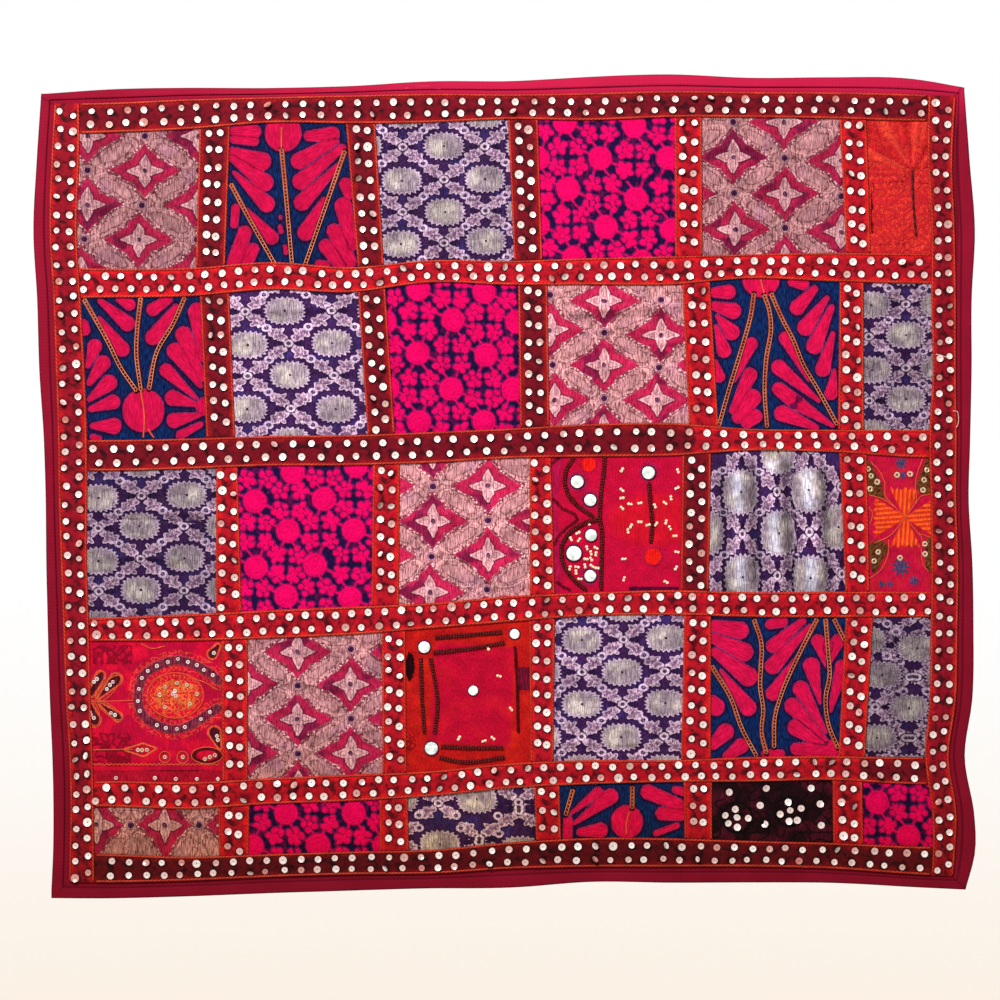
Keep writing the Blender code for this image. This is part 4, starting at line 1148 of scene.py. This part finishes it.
# Red poplin with couched and chain-stitched floss: matt, with orange and plum lines.
ringEmbroidery = {
    "base": ("#950422", "#AF0A27"), "net": 1.55, "gloss": 0.03,
    "areas": (
        area(None, "#850524", "#9D062B", 0.8, net=("clouds", 20, 0.5), soft=1.5),
        area("lower", "#78071A", "#920D27", 0.3),
        area("feather", "#560412", "#700519", 0.6, net=("squiggle", 6, 1.1), thread=(1.6, 9, 55),
             cover=0.85),
        area("ring", "#B22E1E", "#C64B2C", 0.2, band=(0, 10), net=("squiggle", 4.6, 0.4), cover=0.75),
        area("ring", "#7A1E2C", "#983E40", 0.5, band=(0, 4.9)),
        area("ring", "#420A22", "#702838", 0.8, band=(0, 4)),
        area("inner", "#A20724", "#B21221", 0.5),
        area("inner", "#B6381F", "#C6602F", 0.2, net=("squiggle", 4.6, 0.42), cover=0.8),
        area("core", "#AC411F", "#BF6834", 0.2, net=("squiggle", 3.8, 0.62)),
        area("leaf", "#AC391A", "#BF5E34", 0.1, band=(-49.4, 51), cover=0.7),
        area("leaf", "#2B050F", "#4E111F", 0.4, band=(-50.4, 50)),
        area("oval", "#2F050C", "#4E0A14", 0.4, band=(0, 1.5)),
        area("pod", "#AC3E1F", "#BF5E34", 0.2, band=(0, 0.8)),
        area("strip", "#46020D", "#600511", 0.3, band=(0, 0.6)))}
squareEmbroidery = {
    "base": ("#7F070C", "#9F120F"), "thread": (1, 3, 80), "net": 1.5, "gloss": 0.04,
    "areas": (
        area(None, "#A51909", "#B9270D", 0.8, net=("clouds", 18, -2.5), cover=0.45, soft=3),
        area("square", "#85021C", "#A20527", 1.2, thread=(1, 3, 85), soft=3),
        area("square", "#9C0A17", "#AF161A", 0.8, net=("clouds", 24, -5), cover=0.6, soft=4),
        area("spot", "#070102", "#1F0205", 1.4),
        area("corner", "#460207", "#60050A", 0.3, net=("squiggle", 5, 0.7), cover=0.8),
        area("darn", "#3C0417", "#630A24", 0.6),
        area("side", "#2C0105", "#49050A", 0.6))}
# Crimson cotton ground of the beadwork, closely ribbed and matt under its beads.
archEmbroidery = {
    "base": ("#870224", "#A5062B"), "thread": (1, 2.6, 90), "net": 1.5, "gloss": 0.04,
    "areas": (
        area("warm", "#99061A", "#AF0D1A", 2, cover=0.8, soft=4),
        area("left", "#7B052E", "#950A36", 1, soft=1.5),
        area("outer", "#39020D", "#600617", 0.8, band=(0, 1.6)),
        area("halo", "#6A0A39", "#851A4B", 0.3, band=(0, 10.5), net=("squiggle", 3.6, 0.7), cover=0.8),
        area("red", "#850524", "#9C0A31", 0.3, band=(0.6, 1)),
        area("red", "#AC070A", "#C31A11", 0.3),
        area("lines", "#2F0105", "#53050D", 0.7, band=(0, 2)),
        area("strip", "#2C021E", "#49072B", 0.6))}
bowEmbroidery = {
    "base": ("#850527", "#A20A2E"), "net": 1.25, "gloss": 0.04,
    "areas": (
        area(None, "#920D1E", "#A51A21", 0.8, net=("clouds", 16, -1.5), cover=0.6, soft=2),
        area("fan", "#A01E14", "#B82C16", 0.8, soft=1),
        area("rays", "#C43A10", "#DC5A20", 0.3, thread=(1.2, 6, 90), soft=0.5),
        area("corners", "#2E1107", "#60381A", 0.7, thread=(1.6, 4, 45)),
        area("stars", "#271C36", "#493B60", 0.9, thread=(1, 3, 90), grain=2))}
# Red slub cotton, tucked and darned: coarse matt threads that catch the light in spots.
leafEmbroidery = {
    "base": ("#971219", "#BE2F22"), "thread": (1.1, 2.4, 40), "net": 1.5, "gloss": 0.04, "bump": 1,
    "areas": (
        area(None, "#8D0C1D", "#A71623", 0.5, net=("squiggle", 7, 1.3), cover=0.7),
        area(None, "#BE2F23", "#CC4934", 0.6, net=("dots", 4.6, 1.2), cover=0.5),
        # Painted shade in the hollows of the folds and painted highlight on their crests.
        area("fold", "#860812", "#9B1116", 0.8, band=(-3.4, 2.6), cover=0.5, soft=1.6),
        area("fold", "#C33B25", "#D15034", 0.8, band=(3.6, 2), cover=0.3, soft=1.6),
        area("dark", "#660808", "#770F0C", 0.2, band=(0, 1), net=("dots", 2.2, 0.8)),
        area("slit", "#3D0104", "#580407", 0.5, band=(0, 1.2)))}
# Maroon net over black cotton, rubbed: dark and cloudy, with a faint gloss.
sequinCloth = {
    "base": ("#0C0104", "#1C020A"), "net": 1.6, "gloss": 0.05, "roughness": 0.7, "shade": (0.6, 1.3),
    "areas": (
        area("cloud", "#290412", "#40071C", 1, band=(4, 3), soft=1),
        area("round", "#050102", "#0D0104", 0.8, band=(0, 1.4)),
        area(None, "#050102", "#0F0105", 0.6, net=("squiggle", 16, 0.8), cover=0.8))}
# For each cloth: the slot, the material, its recipe and the fields that recipe follows.
cloths = {"A": ("rose_brocade", "roseBrocade", roseBrocade, roseFields),
          "B": ("blue_embroidery", "blueEmbroidery", blueEmbroidery, petalFields),
          "C": ("purple_brocade", "silverBrocade", silverBrocade, silverFields),
          "D": ("pink_embroidery", "pinkEmbroidery", pinkEmbroidery, pinkFields),
          "E": ("red_embroidery", "leafEmbroidery", leafEmbroidery, leafFields),
          "F": ("red_embroidery", "ringEmbroidery", ringEmbroidery, ringFields),
          "G": ("red_embroidery", "squareEmbroidery", squareEmbroidery, squareFields),
          "H": ("crimson_beadwork", "archEmbroidery", archEmbroidery, archFields),
          "I": ("crimson_beadwork", "bowEmbroidery", bowEmbroidery, bowFields),
          "J": ("maroon_sequin", "sequinCloth", sequinCloth, sequinFields)}
clothMaterials = {key: embroidered(name, note) for key, (_, name, note, _) in cloths.items()}
patchLayout = ("ABCDAE", "BCDABC", "CDAHCI", "FAGCBC", "ADCBJD")     # a string for each row
# How light each patch is beside the others of its cloth.
patchTones = {
    "r1c1": 0.7, "r1c2": 0.76, "r1c3": 0.73, "r1c4": 0.97, "r1c5": 0.83, "r1c6": 0.94,
    "r2c1": 0.81, "r2c2": 0.92, "r2c3": 0.93, "r2c4": 1.11, "r2c5": 0.96, "r2c6": 0.63, "r3c1": 0.61,
    "r3c2": 0.98, "r3c3": 1.19, "r3c5": 0.78, "r4c2": 0.95, "r4c4": 0.89, "r4c5": 0.95, "r4c6": 0.51,
    "r5c1": 0.85, "r5c2": 0.97, "r5c3": 0.87, "r5c6": 0.9}
# Tucks and gathers: row and column, the two ends, width and height.
ridges = ((2, 2, 246, 312, 350, 306, 16, 2.6), (2, 4, 557, 312, 676, 306, 16, 3),
    (2, 4, 560, 331, 652, 327, 14, 2.4), (2, 4, 590, 348, 680, 343, 14, 2),
    (2, 4, 560, 320, 660, 317, 5, -1.2), (3, 1, 97, 508, 208, 513, 20, 3.4),
    (3, 1, 95, 519, 208, 522, 5, -1.6), (3, 3, 409, 516, 520, 510, 16, 2.8),
    (3, 3, 415, 545, 470, 560, 14, 1.8), (3, 5, 734, 466, 741, 588, 34, 6),
    (3, 5, 772, 462, 779, 586, 32, 6), (3, 5, 814, 462, 820, 588, 32, 5.5),
    (3, 5, 752, 470, 758, 588, 9, -1.6), (3, 5, 793, 470, 797, 588, 9, -1.6),
    (3, 5, 722, 505, 760, 478, 14, 2), (3, 5, 800, 500, 830, 520, 12, 1.6),
    (4, 2, 262, 672, 338, 690, 18, 3), (4, 2, 262, 686, 340, 702, 6, -1.6),
    (4, 2, 300, 735, 380, 728, 16, 2), (4, 6, 880, 690, 921, 696, 16, 2.4),
    (1, 1, 90, 205, 190, 215, 16, 1.8), (1, 5, 712, 150, 820, 140, 14, 1.8),
    (1, 6, 872, 146, 910, 170, 10, 2), (1, 6, 884, 124, 911, 170, 9, 2), (1, 6, 901, 121, 912, 170, 8, 1.8),
    (1, 6, 918, 121, 912, 170, 8, 1.8), (1, 6, 929, 136, 913, 170, 9, 2),
    (1, 6, 870, 172, 909, 175, 8, 1.4), (1, 6, 913, 172, 916, 240, 6, -1.4),
    (1, 6, 872, 180, 872, 236, 6, -1.6), (5, 3, 497, 796, 500, 842, 12, 2.4),
    (5, 3, 515, 796, 517, 840, 12, 2.6), (5, 3, 530, 792, 532, 842, 12, 2.2),
    (4, 4, 556, 694, 618, 698, 14, 2), (4, 4, 556, 744, 680, 740, 16, 1.8),
    (3, 1, 96, 556, 206, 560, 14, 1.6), (1, 3, 388, 190, 506, 186, 14, 1.8),
    (2, 6, 868, 352, 930, 348, 14, 2), (2, 2, 240, 398, 350, 404, 14, 1.8))


def ridgeHeight(across, down, row, column):
    # Each ridge is a bell across its width, full along its middle and low at both ends.
    total = np.zeros(across.shape)
    for r, c, x0, y0, x1, y1, width, height in ridges:
        if (r, c) == (row, column):
            dx, dy = x1 - x0, y1 - y0
            share = ((across - x0) * dx + (down - y0) * dy) / (dx * dx + dy * dy)
            off = ((across - x0) * dy - (down - y0) * dx) / math.hypot(dx, dy)
            off = off + 0.8 * softNoise(across, down, 15, row + column)
            bell = height * np.exp(-(off / (width * 0.3)) ** 2)
            total = total + bell * step(-0.08, 0.15, share) * step(1.08, 0.85, share)
    return total


def makePatch(row, column):
    # A net between the seams, carried under the trims; its height is the ridges, two noises and
    # the worked places, all brought to nought at the edges.
    letter, key = patchLayout[row - 1][column - 1], f"r{row}c{column}"
    slot, _, note, fieldsOf = cloths[letter]
    under, rumple = layers["underlap"], note.get("rumple", 0.3)
    left = upright("leftInner", -under) if column == 1 else shortSide(row, column - 2, "right", -under)
    right = upright("rightInner", under) if column == 6 else shortSide(row, column - 1, "left", under)
    upper, lower = level(f"band{row}Lower", -under), level(f"band{row + 1}Upper", under)
    sides = (left, right, upper, lower)
    size = np.subtract(netPoint(sides, 1, 1), netPoint(sides, 0, 0))
    columns, rows = [8 * int(round(length / note["net"] / 8)) + 1 for length in size]
    across, down = netPoint(sides, np.linspace(0, 1, columns)[None, :], np.linspace(0, 1, rows)[:, None])
    fields = fieldsOf(across, down, key)
    # Each patch's lightness, times the painted light and shade of the gathered patch.
    fields["tone"] = patchTones.get(key, 1.0) * fields.pop("faded", np.ones(across.shape))
    edge = least((across - left(down), right(down) - across, down - upper(across), lower(across) - down))
    relief = ridgeHeight(across, down, row, column)
    relief = relief + rumple * softNoise(across, down, 9, row * 7 + column)
    relief = relief + rumple * 0.4 * softNoise(across, down, 4.5, row + column * 7)
    if "worked" in fields:
        relief = relief + 0.45 * step(0.8, -0.8, fields["worked"])
    front = layers["patchFront"] + relief * step(under - 2, under + 6, edge)
    piece = layCloth(f"patchR{row}C{column}", across, down, front, layers["patchBack"],
                     clothMaterials[letter], np.stack((across, -down), -1) * mm, fields, stride=8)
    declareCloth(f"patch_r{row}_c{column}")


for row in range(1, 6):
    for column in range(1, 7):
        makePatch(row, column)
print("patches laid")


def glossy(name, dark, light, roughness, metallic=0.0, grain=500.0, gloss=0.5):
    # Small hard things: two shades in fine unevenness under one gloss.
    material, tree = newMaterial(name)
    place = addNode(tree, "TexCoord", out="Object")
    mottled = addNode(tree, "TexNoise", {"Vector": place, "Scale": grain, "Detail": 2.0})
    share = addNode(tree, "MapRange", (mottled, 0.38, 0.62))
    colour = addNode(tree, "Mix", {0: share, 6: dark, 7: light}, 2, data_type="RGBA")
    return finished(material, colour,
                    {"Roughness": roughness, "Metallic": metallic, "Specular IOR Level": gloss})


# Silvered glass, blown thin, so its surface is a little uneven and clouded.
mirrorGlass = glossy("silveredGlass", "#B4C0BA", "#F2F6F4", 0.35, 0.3, 170.0)
# Pressed glass beads, deep garnet and worn dull, couched over floss of the same red.
garnetBead = glossy("garnetGlassBead", "#2C0205", "#680D09", 0.5, grain=900.0, gloss=0.2)
garnetThread = glossy("garnetFloss", "#240205", "#49060A", 0.8, grain=700.0, gloss=0.05)
# Stamped brass foil, its yellow mostly worn off, and opaque glass seeds, smooth and creamy.
brassRing = glossy("brassFoilRing", "#9F7551", "#C8B99F", 0.35, 0.2, 900.0)
creamBead = glossy("creamGlassSeed", "#C08C5C", "#EEDCC4", 0.3, 0.0, 1200.0)
# Plied cotton and loose floss of the stitched lines, each with the same soft shine.
rimThread = cordMaterial("plumCottonThread", "#2C051E", "#6D1246")
orangeThread = cordMaterial("orangeFloss", "#A02C12", "#CC6038")
brownThread = cordMaterial("maroonFloss", "#1F0205", "#530A11")
ladderThread = cordMaterial("peachFloss", "#8A3420", "#CE8866")
paleThread = cordMaterial("paleLooseThread", "#B99285", "#CBBFB9")
onPatch = layers["patchFront"]

# Each stem is two rails with a row of knots between them.
stems = [line for table in stemTables.values() for line in table]
rails = [beside(curve(line, 2.0), side) for line in stems for side in (-1.5, 1.5)]
makeCords("stemRails", rails, onPatch + 1.0, 0.64, ladderThread, turn=4.0, lobe=0.35)
dots = np.concatenate([curve(line, 3.4) for line in stems])
beadShape = ((0.06, -0.4), (1.0, 0.1), (0.06, 0.9))
scatterRings("stemKnots", dots, onPatch + 1.1, np.full(len(dots), 0.8), 0 * dots, beadShape, ladderThread,
             {"ply": np.zeros(len(dots))}, sides=6)
makeCords("discLines", [curve(line) for line in discLines], onPatch + 1.1, 0.85, orangeThread, turn=3.0)
print("stems worked")

# Sewn on the single patches. Beads and mirrors: across, down and, for mirrors, radius.
squareBars = ((435.1, 637.6, 468, 635, 502, 632), (433.3, 652.6, 470, 648.6, 504.5, 642.6), (420.8, 658.3,
    422, 696, 424.5, 732.6), (430.8, 658.3, 437.6, 705.8, 434.8, 732.6), (441.4, 746.4, 472, 747.8, 503.3,
    747.6), (439.5, 757.6, 464.5, 762, 489.5, 759.5, 504.5, 757))
mirrors = ((424.3, 647, 5.9), (514.5, 633.9, 5), (472.9, 690.5, 5), (431.4, 748.3, 6.6),
    (577.4, 481.4, 6.8), (590.2, 499.8, 6.2), (590.8, 535.3, 6.2), (573.8, 553.3, 7.8), (590.2, 575.9, 6.2),
    (648.6, 472.6, 6.8))
seeds = pairs(488, 648, 499, 676, 511, 709, 459, 738, 484, 741, 493, 738, 622, 470, 622, 490, 622, 498, 622,
    508, 630, 504, 640, 503, 655, 506, 665, 503, 671, 498, 677, 488, 678, 471, 628, 531, 631, 526, 640, 522,
    648, 525, 656, 524, 666, 522, 670, 528, 675, 536, 677, 552, 624, 559, 624, 579, 676, 568, 666, 582, 578,
    533, 589, 523, 571, 539, 579, 540, 587, 548, 596, 548, 591, 553, 586, 559, 591, 559, 570, 568, 577, 567,
    585, 566, 576, 572, 580, 579, 592, 566, 597, 568, 596, 554)
goldRings = pairs(165, 687, 177, 683, 187, 685, 197, 694, 190, 704, 165, 707, 160, 695, 147, 750, 142, 750,
    138, 750, 165, 757, 183, 757, 215, 755, 210, 757, 205, 759, 871, 476, 877, 482, 870, 489, 868, 469, 924,
    480, 923, 490, 878, 552, 874, 561, 925, 544, 925, 554, 900, 558, 910, 474, 897, 475, 927, 470)
paleRings = pairs(168, 662, 178, 659, 188, 662, 197, 665, 204, 670, 213, 675, 157, 666, 148, 671, 142, 678,
    139, 689, 138, 701, 140, 711, 157, 725, 166, 728, 177, 729, 185, 727, 201, 719, 210, 712, 113, 682, 110,
    685, 107, 689, 90, 712, 91, 715, 94, 718, 97, 679, 94, 682, 111, 713, 115, 715, 175, 691, 173, 694, 176,
    696, 116, 778, 155, 778, 176, 779, 197, 779, 218, 779, 217, 736, 218, 740, 214, 653)
darkCloth = pairs(729, 792, 766, 788, 811, 788, 760, 805, 820, 804, 765, 824, 821, 825, 735, 809, 725, 815,
    728, 823, 737, 827, 748, 818, 788, 802, 801, 808, 797, 820, 789, 821, 780, 814, 737, 817, 790, 810)
leafTurns = [(math.atan2(y1 - y0, x1 - x0), (x0 + x1 + (r1 - r0) * 0.4) / 2, (y0 + y1) / 2,
              math.hypot(x1 - x0, y1 - y0) / 2 + (r0 + r1) / 2 + 1.2, max(r0, r1) + 0.7)
             for x0, y0, r0, x1, y1, r1 in leafTable]


def sew(name, places, radius, off, profile, finish, tilt=0.08, sides=10, fields=None):
    # Round things of one kind, each leant a little its own way.
    lean = random.normal(0, tilt, (len(places), 2))
    size = np.broadcast_to(radius, len(places)) * random.uniform(0.94, 1.06, len(places))
    scatterRings(name, places, onPatch + off, size, lean, profile, finish, fields, sides)


ringShape = ((0.36, 0.0), (0.68, 0.3), (1.0, 0.02), (0.68, -0.15))
discShape = ((0.03, 0.10), (0.7, 0.09), (1.0, 0.0), (0.6, -0.12))
rimShape = ((0.8, 0.0), (0.88, 0.16), (1.0, 0.0), (0.9, -0.1))
mirrorTable = np.array(mirrors)
mirrorPlaces, mirrorRadius = mirrorTable[:, :2], mirrorTable[:, 2]
sew("mirrors", mirrorPlaces, mirrorRadius, 1.0, discShape, mirrorGlass, 0.05, 20)
sew("mirrorRims", mirrorPlaces, mirrorRadius + 1.1, 0.8, rimShape, rimThread, 0.0, 24,
    {"ply": np.zeros(len(mirrors))})
beadLines = squareBars + archLines
makeCords("beadedLines", [curve(line) for line in beadLines], onPatch + 0.7, 2.0, garnetThread,
          turn=6.0, lobe=0.2)
beadRows = np.concatenate([beside(curve(line, 2.6), side) for line in beadLines for side in (-1.0, 1.0)])
beadRows = beadRows + random.uniform(-0.25, 0.25, beadRows.shape)
sew("garnetBeads", beadRows, 0.85, 2.0, beadShape, garnetBead, 0.2, 6)
swing = random.uniform(0, math.pi, len(seeds))
swing = 1.35 * np.stack((np.cos(swing), np.sin(swing)), -1)
sew("seedBeads", np.concatenate((seeds + swing, seeds - swing)), 1.5, 0.6, beadShape, creamBead, 0.2, 8)
sew("brassRings", goldRings, np.where(np.arange(len(goldRings)) < 15, 2.1, 3.0), 0.7, ringShape, brassRing)
paleSequin = sequinMaterial("paleRingSequin")
sew("paleRings", paleRings, 2.0, 0.7, ringShape, paleSequin,
    fields={"tone": random.uniform(0, 0.5, len(paleRings))})
sew("clothSequins", darkCloth, 3.5, 0.9, sequinShape, paleSequin, 0.22, 12,
    {"tone": random.uniform(0.0, 0.35, len(darkCloth))})

zigzag = np.stack((np.linspace(92, 219, 60), 764.5 + np.tile((0.9, -0.9), 30)), -1)
chains = [curve(line) for line in bowLines]
chains += [ovalLine(x, y, reach, wide, turn) for turn, x, y, reach, wide in leafTurns[:4]]
chains += [ovalLine(207.1, 755.4, 15.6, 8.3), ovalLine(164.9, 757.1, 5.4, 5.6),
           ovalLine(182.7, 757.3, 5.6, 6.0), curve(zigzag), ovalLine(175.5, 695.5, 28.0, 22.6)]
chains += [curve(line) for line in (
    (88.2, 701.6, 110, 701.2, 133.8, 700.4), (90, 750, 110, 749.6, 133, 749.6),
    (218, 690, 206, 683, 193, 678), (141, 643.5, 152, 648.5, 165, 646))]
makeCords("chainOutlines", chains, onPatch + 0.5, 0.55, orangeThread, turn=2.6)
makeCords("stitchedLines", [curve((912, 169.8, 912.6, 203.5, 915.8, 236))], onPatch + 0.5, 0.9, brownThread,
          turn=2.6, lobe=0.35)
loose = ((952.5, 411, 956.5, 411.5, 958, 417, 957.5, 424, 956, 427.5), (936.5, 442, 937.5, 446, 936, 450),
         (935.5, 354.5, 941, 355.5, 945, 357, 950, 358.5))
makeCords("looseThread", [curve(line, 0.8) for line in loose], layers["trimFront"] + 1.4, 0.34, paleThread,
          turn=2.0)
print("beads and mirrors sewn")


def makeStage():
    # A pale floor well below, a white wall of light that turns cream low down, a dimmer room
    # behind the viewer, and two soft lamps, the main one from above and a little to the left.
    mesh = bpy.data.meshes.new("floor")
    mesh.from_pydata([(-6, -6, -2.4), (6, -6, -2.4), (6, 6, -2.4), (-6, 6, -2.4)], [], [(0, 1, 2, 3)])
    material, tree = newMaterial("paleFloor")
    floor = tree.nodes["Principled BSDF"].inputs
    floor["Base Color"].default_value, floor["Roughness"].default_value = hexColour("#F4F1EA"), 0.9
    mesh.materials.append(material)
    placed("floor", mesh)
    world = bpy.data.worlds.new("paleRoom")
    bpy.context.scene.world = world
    world.use_nodes = True
    tree = world.node_tree
    apart = addNode(tree, "SeparateXYZ", [addNode(tree, "TexCoord", out="Generated")]).node.outputs
    low = addNode(tree, "MapRange", (apart["Z"], -0.24, -0.02), interpolation_type="SMOOTHSTEP")
    ahead = addNode(tree, "MapRange", (apart["Y"], -0.75, 0.45), interpolation_type="SMOOTHSTEP")
    wall = addNode(tree, "Mix", {0: low, 6: "#FBF0E3", 7: "#FFFFFF"}, 2, data_type="RGBA")
    colour = addNode(tree, "Mix", {0: ahead, 6: "#B4A79B", 7: wall}, 2, data_type="RGBA")
    tree.links.new(colour, tree.nodes["Background"].inputs[0])
    for name, place, turn, size, power in (("keyLamp", (-0.6, -1.9, 1.1), (51, 0, -17), 0.6, 116.0),
                                           ("fillLamp", (1.8, -2.4, 0.2), (80, 0, 37), 2.0, 4.0)):
        lamp = bpy.data.lights.new(name, "AREA")
        lamp.size, lamp.energy = size, power
        thing = placed(name, lamp)
        thing.location, thing.rotation_euler = place, [math.radians(angle) for angle in turn]


def makeCamera():
    # Straight on from about 2.4 m, through a long lens.
    lens = bpy.data.cameras.new("camera")
    lens.lens, lens.sensor_width, lens.clip_start = 85.0, 36.0, 0.05
    camera = placed("camera", lens)
    camera.location = (-0.005, -2.364, -0.419)
    camera.rotation_euler = (math.radians(90), 0, 0)
    bpy.context.scene.camera = camera
    bpy.context.scene.view_settings.view_transform = "Standard"


makeStage()
makeCamera()
print("stage set")
